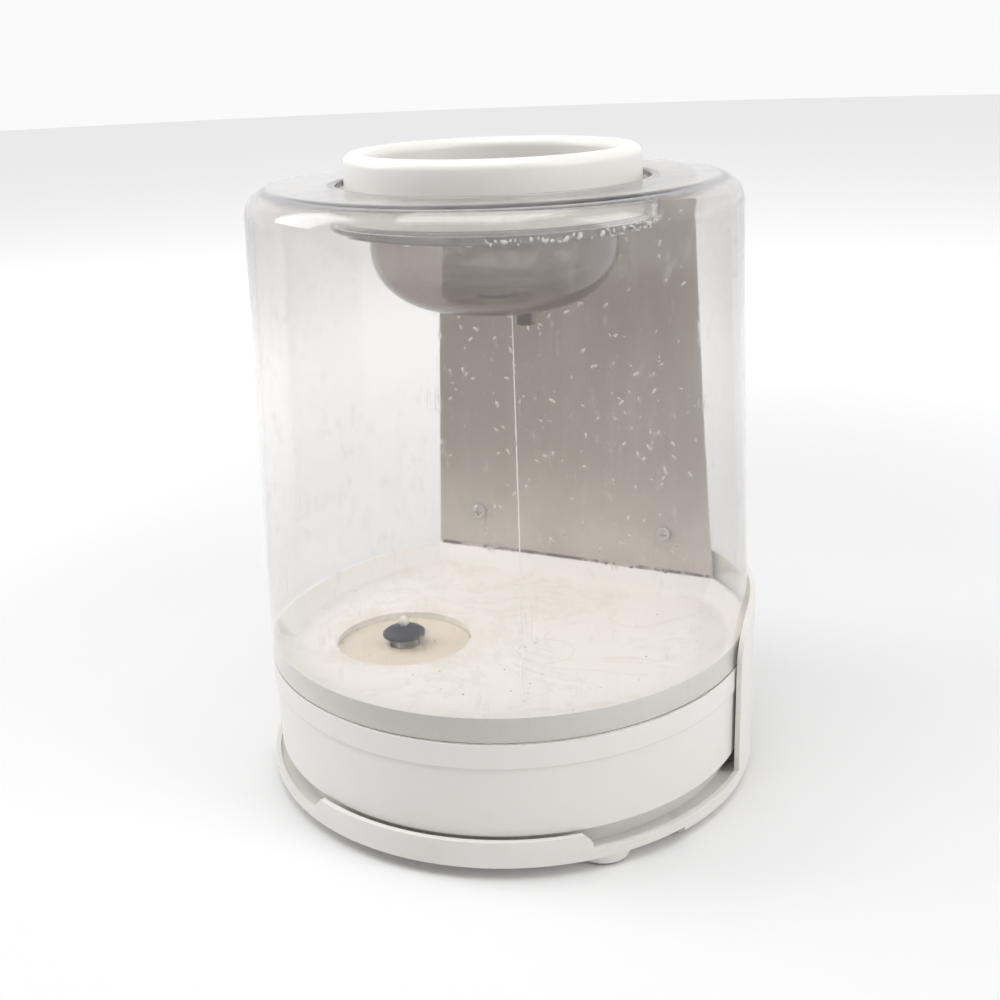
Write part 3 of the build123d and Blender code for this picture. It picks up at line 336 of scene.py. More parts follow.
def smoke_clear(name="smoke_clear", haze=0.010, depth=28.0, tint=(0.10, 0.06, 0.0), film=1.0):
    """Clear tinted plastic: it bends light, darkens with depth, carries a film of scale and rubs, and has a
    painted dark ring on its shoulder.
    """
    f = Finish(name)
    runs = f.noise(90.0, 5.0, 0.65, f.stretched(1.0, 1.0, 0.05))
    cloud = f.noise(14.0, 5.0, 0.65)
    marks = f.scratches(420.0, 0.008)
    high = f.z.step(LEDGE * MM - 0.02, LEDGE * MM)
    low = f.z.step(CURB_TOP * MM + 0.012, CURB_TOP * MM - 0.002)
    specks = f.cells(300.0).step(0.10, 0.05) * f.noise(25.0, 2.0).step(0.5, 0.66)
    axis = f.centred(0.0, 0.0)
    # painted shade: a dark bluish ring on the rounded shoulder stands in for the dark surroundings refracted
    # there
    shoulder = axis.step(0.0930, 0.0950) * axis.step(0.0985, 0.0965) * f.z.step(0.2635, 0.2650)
    smudge = (f.z.step(0.218, 0.228) * f.z.step(0.250, 0.240) * f.y.step(0.008, 0.030)
              * f.x.step(-0.034, -0.016) * f.x.step(0.018, 0.004) * f.noise(70.0, 4.0, 0.7).step(0.30, 0.60))
    clear = f.mix(cloud, (1.0, 0.998, 0.996), (0.985, 0.98, 0.978))
    # the shoulder ring mixed in here is painted shade, not a tint of the plastic
    clear = f.mix(shoulder * 0.85, clear, (0.34, 0.35, 0.40))
    clear = f.mix(smudge * 0.75, clear, (0.50, 0.38, 0.29))
    f.set(base_color=clear, roughness=0.015 + 0.035 * cloud + 0.10 * marks, specular_ior_level=0.5,
          normal=f.bump(f.noise(26.0, 2.0) + 0.15 * marks, 0.05, 0.0006))
    f.shader.inputs["Transmission Weight"].default_value = 1.0
    f.shader.inputs["IOR"].default_value = 1.49
    film_shader = f.node("ShaderNodeBsdfDiffuse", {}, {"Color": (0.86, 0.84, 0.82)})
    film_share = (haze * film * (0.35 + 0.9 * runs.step(0.42, 0.72) + 0.5 * cloud.step(0.4, 0.7))
                  + 0.10 * film * high * cloud.step(0.35, 0.6) + 0.05 * film * low
                  + 0.05 * marks * film + 0.16 * specks * film).clamp()
    first = f.tree.nodes.new("ShaderNodeMixShader")
    f.tree.links.new(film_share.socket, first.inputs[0])
    f.tree.links.new(f.shader.outputs[0], first.inputs[1])
    f.tree.links.new(film_shader.socket, first.inputs[2])
    open_shader = f.node("ShaderNodeBsdfTransparent", {}, {"Color": (0.99, 0.985, 0.98)})
    second = f.tree.nodes.new("ShaderNodeMixShader")
    path = f.tree.nodes.new("ShaderNodeLightPath")
    f.tree.links.new(path.outputs["Is Shadow Ray"], second.inputs[0])
    f.tree.links.new(first.outputs[0], second.inputs[1])
    f.tree.links.new(open_shader.socket, second.inputs[2])
    f.tree.links.new(second.outputs[0], f.output.inputs["Surface"])
    absorb = f.tree.nodes.new("ShaderNodeVolumeAbsorption")
    absorb.inputs["Color"].default_value = (*tint, 1.0)
    absorb.inputs["Density"].default_value = depth
    f.tree.links.new(absorb.outputs[0], f.output.inputs["Volume"])
    return f.material


def rubber(name, colour, roughness=0.6, dust=0.5):
    f = Finish(name)
    cloud = f.noise(180.0, 5.0, 0.7)
    specks = f.cells(900.0).step(0.24, 0.10) * f.noise(300.0, 3.0).step(0.48, 0.66) * dust
    shade = f.mix(cloud.step(0.4, 0.8) * 0.4, colour, tuple(min(1.0, c * 2.2 + 0.02) for c in colour))
    shade = f.mix(specks * 0.9, shade, (0.66, 0.64, 0.60))
    f.set(base_color=shade, roughness=roughness + 0.2 * cloud, specular_ior_level=0.35,
          normal=f.bump(f.noise(1500.0, 2.0) + specks, 0.12, 0.0004))
    return f.material


def metal(name, colour, roughness=0.3, brushed=(1.0, 1.0, 1.0), tarnish=(0.30, 0.22, 0.15), spots=0.4):
    f = Finish(name)
    lines = f.noise(1400.0, 3.0, 0.6, f.stretched(*brushed))
    cloud = f.noise(120.0, 5.0, 0.7).step(0.5, 0.75) * spots
    f.set(base_color=f.mix(cloud, colour, tarnish), metallic=1.0 - 0.7 * cloud,
          roughness=roughness + 0.18 * lines + 0.3 * cloud,
          normal=f.bump(lines + cloud, 0.10, 0.0003))
    return f.material


def copper_winding():
    """Enamelled wire, wound level, with a varnish sheen."""
    f = Finish("winding")
    turns = f.node("ShaderNodeMath", {"operation": "SINE"}, {0: f.z * (2 * pi / 0.0007)})
    cloud = f.noise(200.0, 4.0)
    f.set(base_color=f.mix(cloud, (0.42, 0.13, 0.045), (0.62, 0.24, 0.10)), metallic=0.7 + 0.2 * cloud,
          roughness=0.28 + 0.2 * cloud, normal=f.bump(turns, 0.6, 0.0003))
    f.shader.inputs["Coat Weight"].default_value = 0.6
    return f.material


def laminated_iron():
    """Stacked core plates, varnished, with a little rust in patches."""
    f = Finish("core_iron")
    plates = f.node("ShaderNodeMath", {"operation": "SINE"}, {0: f.y * (2 * pi / 0.001)})
    rust = f.noise(90.0, 6.0, 0.7).step(0.52, 0.72)
    f.set(base_color=f.mix(rust * 0.6, (0.13, 0.125, 0.12), (0.24, 0.10, 0.045)),
          metallic=0.8 - 0.6 * rust, roughness=0.42 + 0.3 * rust,
          normal=f.bump(plates + 0.5 * rust, 0.4, 0.0003))
    return f.material


def circuit_green():
    """Brown paper board with tinned tracks and pads."""
    f = Finish("board")
    lanes = f.cells(190.0, output="Distance", randomness=0.35)
    tracks = f.noise(160.0, 1.0, 0.3, f.stretched(1.0, 0.12, 1.0)).step(0.53, 0.55)
    pads = lanes.step(0.20, 0.16)
    tin = (tracks * 0.5).most(pads)
    f.set(base_color=f.mix(tin, (0.36, 0.235, 0.11), (0.70, 0.68, 0.62)), metallic=0.8 * pads,
          roughness=0.5 - 0.2 * tin, normal=f.bump(tin, 0.3, 0.0003))
    return f.material


def filter_foam():
    f = Finish("foam")
    pores = f.cells(620.0)
    dust = f.noise(50.0, 4.0).step(0.4, 0.7)
    strands = f.mix(dust, (0.09, 0.09, 0.095), (0.22, 0.21, 0.20))
    f.set(base_color=f.mix(pores.step(0.1, 0.5), (0.02, 0.02, 0.022), strands),
          roughness=0.85 + 0.1 * dust, normal=f.bump(pores, 0.9, 0.0012))
    return f.material


def pale_ceramic():
    f = Finish("piezo")
    ring = f.centred(0.0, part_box("transducer_disc")[0].y + 0.0076)
    silvered = ring.step(0.0058, 0.0056)
    cloud = f.noise(300.0, 4.0)
    f.set(base_color=f.mix(silvered, (0.55, 0.50, 0.42), (0.72, 0.72, 0.70)), metallic=0.85 * silvered,
          roughness=0.30 + 0.15 * cloud, normal=f.bump(cloud, 0.08, 0.0003))
    return f.material


def amber_lens():
    f = Finish("lens_amber")
    ribs = f.node("ShaderNodeMath", {"operation": "SINE"}, {0: f.x * (2 * pi / 0.0008)})
    cloud = f.noise(400.0, 3.0)
    f.set(base_color=f.mix(cloud, (0.85, 0.30, 0.03), (0.95, 0.42, 0.06)), roughness=0.12 + 0.1 * cloud,
          normal=f.bump(ribs, 0.2, 0.0003))
    f.shader.inputs["Transmission Weight"].default_value = 0.55
    return f.material


def dark_bead():
    """Old sealant in the corner, dark with dirt, broken by paler lengths."""
    f = Finish("bead")
    gaps = f.noise(60.0, 4.0, 0.65).step(0.44, 0.56)
    lumps = f.noise(500.0, 4.0)
    f.set(base_color=f.mix(gaps, (0.50, 0.46, 0.42), (0.16, 0.135, 0.115)), roughness=0.55 + 0.3 * lumps,
          normal=f.bump(lumps, 0.5, 0.0008))
    return f.material


def thread_nylon():
    f = Finish("nylon")
    lay = f.noise(2600.0, 3.0, 0.6, f.stretched(1.0, 1.0, 0.2))
    f.set(base_color=f.mix(lay, (0.86, 0.85, 0.83), (0.97, 0.965, 0.95)), roughness=0.45 + 0.2 * lay,
          normal=f.bump(lay, 0.3, 0.0002))
    f.shader.inputs["Sheen Weight"].default_value = 0.4
    return f.material


def scale_grain(name="scale_grain", colour=(0.80, 0.77, 0.72)):
    f = Finish(name)
    cloud = f.noise(900.0, 4.0)
    f.set(base_color=f.mix(cloud, colour, tuple(c * 0.78 for c in colour)), roughness=0.75 + 0.2 * cloud,
          normal=f.bump(cloud, 0.4, 0.0004))
    return f.material


FINISHES = {}


def finish(slot):
    """The material of one of the record's slots, made once."""
    makers = {
        "white_shell": lambda: moulded("white_shell", tuple(colours().white), 0.34, 0.55, 0.06, 0.6),
        "dish_white": tank_floor_white,
        "smoke_clear": smoke_clear,
        "panel_brown": panel_brown,
        "ivory": lambda: moulded("ivory", tuple(colours().ivory), 0.30, 0.25, 0.04, 0.4, 0.2),
        "cream": lambda: moulded("cream", tuple(colours().cream), 0.42, 0.9, 0.08, 0.9),
        "natural_plastic": lambda: moulded("natural_plastic", (0.72, 0.70, 0.65), 0.35, 0.3, 0.05, 0.3),
        "black_rubber": lambda: rubber("black_rubber", (0.020, 0.024, 0.036), 0.42, 0.9),
        "grey_rubber": lambda: rubber("grey_rubber", (0.16, 0.16, 0.165), 0.62, 0.3),
        "steel": lambda: metal("steel", (0.60, 0.59, 0.57), 0.28, (1.0, 1.0, 0.2)),
        "brass": lambda: metal("brass", (0.72, 0.53, 0.24), 0.26, (1.0, 0.3, 1.0)),
        "piezo": pale_ceramic,
        "aluminium": lambda: metal("aluminium", (0.78, 0.78, 0.79), 0.34, (1.0, 1.0, 0.06),
                                   (0.5, 0.5, 0.5), 0.2),
        "core_iron": laminated_iron,
        "winding": copper_winding,
        "board": circuit_green,
        "component_black": lambda: moulded("component_black", (0.022, 0.022, 0.024), 0.40, 0.3, 0.08, 0.8),
        "component_blue": lambda: moulded("component_blue", (0.03, 0.07, 0.20), 0.35, 0.2, 0.05, 0.2),
        "knob_grey": lambda: moulded("knob_grey", (0.30, 0.295, 0.285), 0.42, 0.4, 0.08, 0.8),
        "lens_amber": amber_lens,
        "foam": filter_foam,
        "bead": dark_bead,
        "nylon": thread_nylon,
        "scale_grain": scale_grain,
        "dark_grain": lambda: scale_grain("dark_grain", (0.20, 0.17, 0.14)),
        "bowl_clear": lambda: smoke_clear("bowl_clear", 0.05, 240.0, (0.24, 0.10, 0.04), 1.2),
    }
    if slot not in FINISHES:
        FINISHES[slot] = makers[slot]()
    return FINISHES[slot]


# ---------------------------------------------------------------- mesh making
def rounded(corners, arc_steps=10):
    """Closed outline in millimetres with arcs at its corners: each corner is (radius, height, fillet)."""
    points = []
    count = len(corners)
    for i, (x, z, fillet) in enumerate(corners):
        if fillet <= 0:
            points.append((x, z))
            continue
        px, pz, _ = corners[i - 1]
        nx, nz, _ = corners[(i + 1) % count]
        to_last = Vector((px - x, pz - z)).normalized()
        to_next = Vector((nx - x, nz - z)).normalized()
        half = to_last.angle(to_next) / 2
        reach = fillet / tan(half)
        middle = (to_last + to_next).normalized() * (fillet / sin(half))
        start = to_last * reach - middle
        end = to_next * reach - middle
        sweep = start.angle_signed(end)
        for k in range(arc_steps + 1):
            # angle_signed is clockwise positive
            turned = Matrix.Rotation(-sweep * k / arc_steps, 2) @ start
            points.append((x + middle.x + turned.x, z + middle.y + turned.y))
    return points


def lathe(name, outline, steps=None, centre=(0.0, 0.0), sharp=32.0):
    """Solid turned about a vertical axis from a closed outline of (radius, height) in millimetres."""
    steps = steps or sizes().turned_steps
    mesh = bmesh.new()
    rings = []
    for radius, height in outline:
        if radius < 1e-6:
            rings.append([mesh.verts.new((centre[0] * MM, centre[1] * MM, height * MM))] * steps)
        else:
            rings.append([mesh.verts.new(((centre[0] + radius * cos(2 * pi * k / steps)) * MM,
                                          (centre[1] + radius * sin(2 * pi * k / steps)) * MM,
                                          height * MM)) for k in range(steps)])
    for here, there in zip(rings, rings[1:] + rings[:1]):
        for k in range(steps):
            corners = [here[k], here[(k + 1) % steps], there[(k + 1) % steps], there[k]]
            distinct = list(dict.fromkeys(corners))
            if len(distinct) >= 3 and not (here[0] is here[1] and there[0] is there[1]):
                mesh.faces.new(distinct)
    bmesh.ops.recalc_face_normals(mesh, faces=mesh.faces)
    return as_object(name, mesh, sharp)


def as_object(name, mesh, sharp=32.0):
    data = bpy.data.meshes.new(name)
    mesh.to_mesh(data)
    mesh.free()
    piece = bpy.data.objects.new(name, data)
    bpy.context.scene.collection.objects.link(piece)
    smooth(piece, sharp)
    return piece


def smooth(piece, sharp=32.0):
    """Soft shading, with a crease where faces meet at more than the sharp angle, in degrees."""
    for face in piece.data.polygons:
        face.use_smooth = True
    piece.data.set_sharp_from_angle(angle=radians(sharp))


def apply_modifiers(piece):
    """Puts the piece's modifiers into its mesh."""
    depsgraph = bpy.context.evaluated_depsgraph_get()
    result = bpy.data.meshes.new_from_object(piece.evaluated_get(depsgraph), depsgraph=depsgraph)
    piece.modifiers.clear()
    old = piece.data
    piece.data = result
    result.name = piece.name
    bpy.data.meshes.remove(old)


def block(low, high):
    """A box in millimetres, for cutting or joining."""
    mesh = bmesh.new()
    bmesh.ops.create_cube(mesh, size=1.0)
    for corner in mesh.verts:
        corner.co = Vector([(low[i] if corner.co[i] < 0 else high[i]) * MM for i in range(3)])
    return as_object("cutter", mesh)


def combine(piece, operation, *tools):
    """Joins or cuts the piece with other closed shapes, which are then removed."""
    for tool in tools:
        modifier = piece.modifiers.new("cut", "BOOLEAN")
        modifier.operation = operation
        modifier.solver = "EXACT"
        modifier.object = tool
        apply_modifiers(piece)
        bpy.data.objects.remove(tool)
    mesh = bmesh.new()
    mesh.from_mesh(piece.data)
    bmesh.ops.remove_doubles(mesh, verts=mesh.verts, dist=1e-6)
    bmesh.ops.dissolve_degenerate(mesh, edges=mesh.edges, dist=1e-7)
    mesh.to_mesh(piece.data)
    mesh.free()
    smooth(piece)


def moulded_copy(node, edge=None, sharp=30.0):
    """A welded copy of a frame piece with soft shading and slightly rounded edges."""
    source = NODES[node]
    mesh = bmesh.new()
    mesh.from_mesh(source.data)
    bmesh.ops.remove_doubles(mesh, verts=mesh.verts, dist=2e-6)
    bmesh.ops.dissolve_limit(mesh, angle_limit=radians(0.6), verts=mesh.verts, edges=mesh.edges)
    piece = as_object(node + "_moulded", mesh, sharp)
    width = sizes().edge_round if edge is None else edge * MM
    if width > 0:
        bevel = piece.modifiers.new("edges", "BEVEL")
        bevel.width = width
        bevel.segments = 2
        bevel.limit_method = "ANGLE"
        bevel.angle_limit = radians(sharp)
        bevel.use_clamp_overlap = True
        bevel.harden_normals = True
        apply_modifiers(piece)
    return piece


def paint(piece, slot, material=None):
    piece.data.materials.clear()
    piece.data.materials.append(finish(material or slot))


def settle(piece, body, slot, *nodes, material=None):
    """Gives a new piece the finish of its slot and its body, in place of the frame pieces it stands for."""
    paint(piece, slot, material)
    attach(piece, body)
    if nodes:
        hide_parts(*nodes)
    return piece


BODY_OF = {name: body for body, names in frame["record"]["behaviour"]["bodies"].items() for name in names}


def mould(node, slot, edge=None):
    """Replaces one frame piece by its moulded copy."""
    return settle(moulded_copy(node, edge), BODY_OF[node], slot, node)


# ---------------------------------------------------------------- scattered detail
def scatter_tree(name, material, seed):
    """Geometry nodes: grains of random size set on a surface's faces."""
    tree = bpy.data.node_groups.new(name, "GeometryNodeTree")
    face = tree.interface
    face.new_socket("Geometry", in_out="INPUT", socket_type="NodeSocketGeometry")
    for label, value in (("Density", 1000.0), ("Smallest", 0.0001), ("Largest", 0.0005), ("Flatness", 0.4),
                         ("Length", 1.0)):
        socket = face.new_socket(label, in_out="INPUT", socket_type="NodeSocketFloat")
        socket.default_value = value
    seed_socket = face.new_socket("Seed", in_out="INPUT", socket_type="NodeSocketInt")
    seed_socket.default_value = seed
    face.new_socket("Geometry", in_out="OUTPUT", socket_type="NodeSocketGeometry")

    def add(kind, **settings):
        made = tree.nodes.new(kind)
        for key, value in settings.items():
            setattr(made, key, value)
        return made

    link = tree.links.new
    given, result = add("NodeGroupInput"), add("NodeGroupOutput")
    spread = add("GeometryNodeDistributePointsOnFaces", distribute_method="RANDOM")
    link(given.outputs["Geometry"], spread.inputs["Mesh"])
    link(given.outputs["Density"], spread.inputs["Density"])
    link(given.outputs["Seed"], spread.inputs["Seed"])
    grain = add("GeometryNodeMeshIcoSphere")
    grain.inputs["Radius"].default_value = 1.0
    grain.inputs["Subdivisions"].default_value = 1
    size = add("FunctionNodeRandomValue", data_type="FLOAT")
    link(given.outputs["Smallest"], size.inputs[2])
    link(given.outputs["Largest"], size.inputs[3])
    link(given.outputs["Seed"], size.inputs["Seed"])
    uneven = add("ShaderNodeMath", operation="POWER")
    roll = add("FunctionNodeRandomValue", data_type="FLOAT")
    link(roll.outputs[1], uneven.inputs[0])
    uneven.inputs[1].default_value = 2.0
    blend_size = add("ShaderNodeMapRange")
    link(uneven.outputs[0], blend_size.inputs["Value"])
    link(given.outputs["Smallest"], blend_size.inputs["To Min"])
    link(given.outputs["Largest"], blend_size.inputs["To Max"])
    long_side = add("ShaderNodeMath", operation="MULTIPLY")
    link(blend_size.outputs[0], long_side.inputs[0])
    link(given.outputs["Length"], long_side.inputs[1])
    thin_side = add("ShaderNodeMath", operation="MULTIPLY")
    link(blend_size.outputs[0], thin_side.inputs[0])
    link(given.outputs["Flatness"], thin_side.inputs[1])
    scale = add("ShaderNodeCombineXYZ")
    link(long_side.outputs[0], scale.inputs[0])
    link(blend_size.outputs[0], scale.inputs[1])
    link(thin_side.outputs[0], scale.inputs[2])
    spin = add("FunctionNodeRandomValue", data_type="FLOAT")
    spin.inputs[3].default_value = 2 * pi
    spin.inputs["Seed"].default_value = seed + 7
    spin_axis = add("ShaderNodeCombineXYZ")
    link(spin.outputs[1], spin_axis.inputs[2])
    turn = add("FunctionNodeRotateRotation", rotation_space="LOCAL")
    link(spread.outputs["Rotation"], turn.inputs[0])
    as_turn = add("FunctionNodeEulerToRotation")
    link(spin_axis.outputs[0], as_turn.inputs[0])
    link(as_turn.outputs[0], turn.inputs[1])
    place = add("GeometryNodeInstanceOnPoints")
    link(spread.outputs["Points"], place.inputs["Points"])
    link(grain.outputs["Mesh"], place.inputs["Instance"])
    link(turn.outputs[0], place.inputs["Rotation"])
    link(scale.outputs[0], place.inputs["Scale"])
    real = add("GeometryNodeRealizeInstances")
    link(place.outputs[0], real.inputs[0])
    coat = add("GeometryNodeSetMaterial")
    coat.inputs["Material"].default_value = material
    link(real.outputs[0], coat.inputs["Geometry"])
    link(coat.outputs[0], result.inputs[0])
    return tree


def scatter(name, surface, material, seed, body, slot, **inputs):
    """Covers a surface object with grains, as one plain mesh that takes the surface's place."""
    tree = scatter_tree(name + "_tree", finish(material), seed)
    modifier = surface.modifiers.new("grains", "NODES")
    modifier.node_group = tree
    for item in tree.interface.items_tree:
        if item.in_out == "INPUT" and item.name in inputs:
            modifier[item.identifier] = inputs[item.name]
    apply_modifiers(surface)
    surface.name = name
    surface.data.name = name
    for face in surface.data.polygons:
        face.use_smooth = True
    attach(surface, body)
    return surface


def patch(points, faces):
    """An open surface in millimetres for grains to sit on."""
    data = bpy.data.meshes.new("patch")
    data.from_pydata([tuple(c * MM for c in p) for p in points], [], faces)
    piece = bpy.data.objects.new("patch", data)
    bpy.context.scene.collection.objects.link(piece)
    return piece


def ring_patch(inner, outer, start, end, low=None, high=None, steps=48):
    """A band round the axis: flat between two radii, or upright between two heights."""
    points, faces = [], []
    for k in range(steps + 1):
        angle = radians(start + (end - start) * k / steps)
        points.append((inner * sin(angle), -inner * cos(angle), low))
        points.append((outer * sin(angle), -outer * cos(angle), high))
        if k:
            faces.append((2 * k - 2, 2 * k - 1, 2 * k + 1, 2 * k))
    return patch(points, faces)


# ---------------------------------------------------------------- operators
class HUMIDIFIER_OT_stage(bpy.types.Operator):
    """Pale floor, soft studio light and the camera"""
    bl_idname = "humidifier.stage"
    bl_label = "Stage"

    def execute(self, context):
        scene = context.scene
        scene.view_settings.view_transform = "Standard"
        for kind in ("max_bounces", "transmission_bounces", "transparent_max_bounces"):
            setattr(scene.cycles, kind, LIGHT_BOUNCES)
        mesh = bmesh.new()
        bmesh.ops.create_circle(mesh, cap_ends=True, radius=6.0, segments=96)
        floor = as_object("studio_floor", mesh)
        f = Finish("studio_paper")
        far = f.centred(0.0, 0.0).step(0.25, 1.15)
        f.set(base_color=f.mix(f.noise(2.0, 3.0), (0.87, 0.87, 0.87), (0.88, 0.88, 0.882)), roughness=0.85,
              emission_color=f.mix(far, (0.03, 0.03, 0.03), (1.0, 1.0, 1.005)))
        f.shader.inputs["Emission Strength"].default_value = 0.50
        f.shader.inputs["Specular IOR Level"].default_value = 0.0
        floor.data.materials.append(f.material)
        world = bpy.data.worlds.new("studio_air")
        scene.world = world
        world.use_nodes = True
        air = world.node_tree
        toward = air.nodes.new("ShaderNodeTexCoord")
        parts = air.nodes.new("ShaderNodeSeparateXYZ")
        air.links.new(toward.outputs["Generated"], parts.inputs[0])
        tones = []
        for axis, low, high in ((1, -0.6, 0.15), (2, 0.8, 0.3)):
            tone = air.nodes.new("ShaderNodeMapRange")
            tone.interpolation_type = "SMOOTHSTEP"
            tone.inputs["From Min"].default_value = low
            tone.inputs["From Max"].default_value = high
            air.links.new(parts.outputs[axis], tone.inputs["Value"])
            tones.append(tone)
        shade = air.nodes.new("ShaderNodeMath")
        shade.operation = "MULTIPLY"
        for i, tone in enumerate(tones):
            air.links.new(tone.outputs[0], shade.inputs[i])
        sky = air.nodes.new("ShaderNodeMix")
        sky.data_type = "RGBA"
        air.links.new(shade.outputs[0], sky.inputs[0])
        sky.inputs[6].default_value = (0.225, 0.225, 0.23, 1.0)
        sky.inputs[7].default_value = (0.955, 0.955, 0.965, 1.0)
        air.links.new(sky.outputs[2], air.nodes["Background"].inputs["Color"])
        for name, place, width, height, power in (
                ("left_softbox", (-1.20, -0.30, 0.95), 0.7, 1.0, 7.6),
                ("right_softbox", (1.25, -0.15, 0.90), 0.6, 1.0, 5.5),
                ("top_softbox", (0.0, -0.32, 1.7), 1.2, 1.2, 15.3)):
            lamp = bpy.data.lights.new(name, "AREA")
            lamp.shape = "RECTANGLE"
            lamp.size = width
            lamp.size_y = height
            lamp.energy = power
            holder = bpy.data.objects.new(name, lamp)
            scene.collection.objects.link(holder)
            aim = Vector((0.0, 0.0, 0.13)) - Vector(place)
            holder.location = place
            holder.rotation_euler = aim.to_track_quat("-Z", "Y").to_euler()
        camera = bpy.data.cameras.new("camera")
        camera.lens = 46.69
        camera.sensor_width = 36.0
        camera.clip_end = 50.0
        holder = bpy.data.objects.new("camera", camera)
        scene.collection.objects.link(holder)
        aim = (Matrix.Rotation(radians(25.4), 3, "Z") @ Matrix.Rotation(radians(90 - 19.63), 3, "X")
               @ Matrix.Rotation(radians(-2.137), 3, "Z"))
        holder.location = (0.2360, -0.5020, 0.3212)
        holder.rotation_euler = aim.to_euler()
        scene.camera = holder
        return {"FINISHED"}


class HUMIDIFIER_OT_thread(bpy.types.Operator):
    """The fine thread that hangs from the bowl and lies on the tank's floor"""
    bl_idname = "humidifier.thread"
    bl_label = "Thread"

    def execute(self, context):
        route = [(0.0173, -0.0234, 0.2140), (0.0173, -0.0234, 0.0834), (0.0173, -0.0234, 0.06315),
                 (0.0240, -0.0425, 0.06315), (0.0366, -0.0660, 0.06315)]
        data = bpy.data.curves.new("hanging_thread", "CURVE")
        data.dimensions = "3D"
        line = data.splines.new("NURBS")
        line.points.add(len(route) - 1)
        for point, place in zip(line.points, route):
            point.co = (*place, 1.0)
        line.order_u = 3
        line.use_endpoint_u = True
        line.resolution_u = 24
        data.resolution_u = 24
        data.bevel_depth = sizes().thread / 2
        data.bevel_resolution = 3
        data.use_fill_caps = True
        thread = bpy.data.objects.new("hanging_thread", data)
        context.scene.collection.objects.link(thread)
        thread.data.materials.append(finish("nylon"))
        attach(thread, "tank")
        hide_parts("drip_thread")
        return {"FINISHED"}


class HUMIDIFIER_OT_shell(bpy.types.Operator):
    """The clear tank shell with its recess and the mist channel behind it"""
    bl_idname = "humidifier.shell"
    bl_label = "Tank shell"

    def execute(self, context):
        wall = sizes().shell_wall / MM
        shoulder = sizes().shoulder / MM
        top_radius = SHELL_RADIUS - 6.8
        well, lip, channel, partition = WELL_RADIUS, 53.4, 70.0, PANEL_FRONT
        outline = rounded([
            (SHELL_RADIUS, SHELL_FOOT, 0.5), (top_radius, SHELL_TOP, shoulder), (well, SHELL_TOP, 1.2),
            (well, LEDGE, 0.8), (lip, LEDGE, 0.4), (lip, LEDGE - wall, 0.4), (well + wall, LEDGE - wall, 2.0),
            (well + wall, SHELL_TOP - wall, 0.6), (top_radius - wall, SHELL_TOP - wall, shoulder - wall),
            (SHELL_RADIUS - wall, SHELL_FOOT, 0.5)])
        shell = lathe("clear_shell", outline)
        half = channel / 2
        box = block((-half - wall, well - 1, LEDGE - wall), (half + wall, partition, SHELL_TOP - wall / 2))
        core = lathe("cutter", [(0, LEDGE - wall - 1), (well + 0.5, LEDGE - wall - 1),
                                (well + 0.5, SHELL_TOP), (0, SHELL_TOP)])
        combine(box, "DIFFERENCE", core)
        combine(shell, "UNION", box)
        opening = block((-half, partition - 22, LEDGE), (half, partition + 4, SHELL_TOP - wall))
        core = lathe("cutter", [(0, LEDGE - 1), (well - 4, LEDGE - 1), (well - 4, SHELL_TOP), (0, SHELL_TOP)])
        combine(opening, "DIFFERENCE", core)
        combine(shell, "DIFFERENCE", opening)
        settle(shell, "tank", "smoke_clear", "tank_shell")
        return {"FINISHED"}


class HUMIDIFIER_OT_bowl(bpy.types.Operator):
    """The drip bowl under the recess"""
    bl_idname = "humidifier.bowl"
    bl_label = "Drip bowl"

    def execute(self, context):
        radius, wall, flat = 53.0, 2.5, 23.0
        bottom = LEDGE - 37.3
        start = LEDGE - 12.5
        outline = [(64.6, LEDGE), (radius + 0.3, LEDGE), (radius, LEDGE - 0.4)]
        for k in range(BOWL_ARC_STEPS + 1):
            angle = radians(90 * k / BOWL_ARC_STEPS)
            outline.append((flat + (radius - flat) * cos(angle), start - (start - bottom) * sin(angle)))
        outline += [(0, bottom), (0, bottom + 3.6), (8.4, bottom + 3.6), (8.8, bottom + 3.2),
                    (8.8, bottom + wall)]
        for k in range(BOWL_ARC_STEPS, -1, -1):
            angle = radians(90 * k / BOWL_ARC_STEPS)
            outline.append((flat + (radius - flat - wall) * cos(angle),
                            start - (start - bottom - wall) * sin(angle)))
        outline += [(radius - wall, LEDGE + 1.6), (radius - wall + 0.4, LEDGE + 2.0), (64.6, LEDGE + 2.0),
                    (65.0, LEDGE + 1.6), (65.0, LEDGE + 0.4)]
        bowl = lathe("clear_bowl", outline)
        stub = lathe("cutter", rounded([(0, bottom + 1, 0), (5.0, bottom + 1, 0), (5.0, bottom, 0),
                                        (4.4, bottom - 8.9, 0.8), (0, bottom - 8.9, 0)], 5), 48, (11.0, 4.5))
        combine(bowl, "UNION", stub)
        settle(bowl, "tank", "smoke_clear", "drip_bowl", material="bowl_clear")
        return {"FINISHED"}


class HUMIDIFIER_OT_collar(bpy.types.Operator):
    """The ivory mist collar that stands in the recess"""
    bl_idname = "humidifier.collar"
    bl_label = "Mist collar"

    def execute(self, context):
        low, high = (corner.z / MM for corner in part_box("mist_collar"))
        outline = rounded([
            (62.5, low, 0.3), (61.7, high, 4.2), (52.0, high, 4.2), (52.8, low, 0.3), (55.3, low, 0.3),
            (54.5, high - 5.0, 1.5), (59.2, high - 5.0, 1.5), (60.0, low, 0.3)])
        collar = lathe("ivory_collar", outline)
        combine(collar, "DIFFERENCE", block((-31, 32.5, low - 1), (31, 92.5, SHELL_TOP - 3.0)))
        settle(collar, "collar", "ivory", "mist_collar")
        return {"FINISHED"}


class HUMIDIFIER_OT_tank_floor(bpy.types.Operator):
    """The tank's floor with its curb and skirt"""
    bl_idname = "humidifier.tank_floor"
    bl_label = "Tank floor"

    def execute(self, context):
        mould("tank_dish", "dish_white", 0.4)
        return {"FINISHED"}


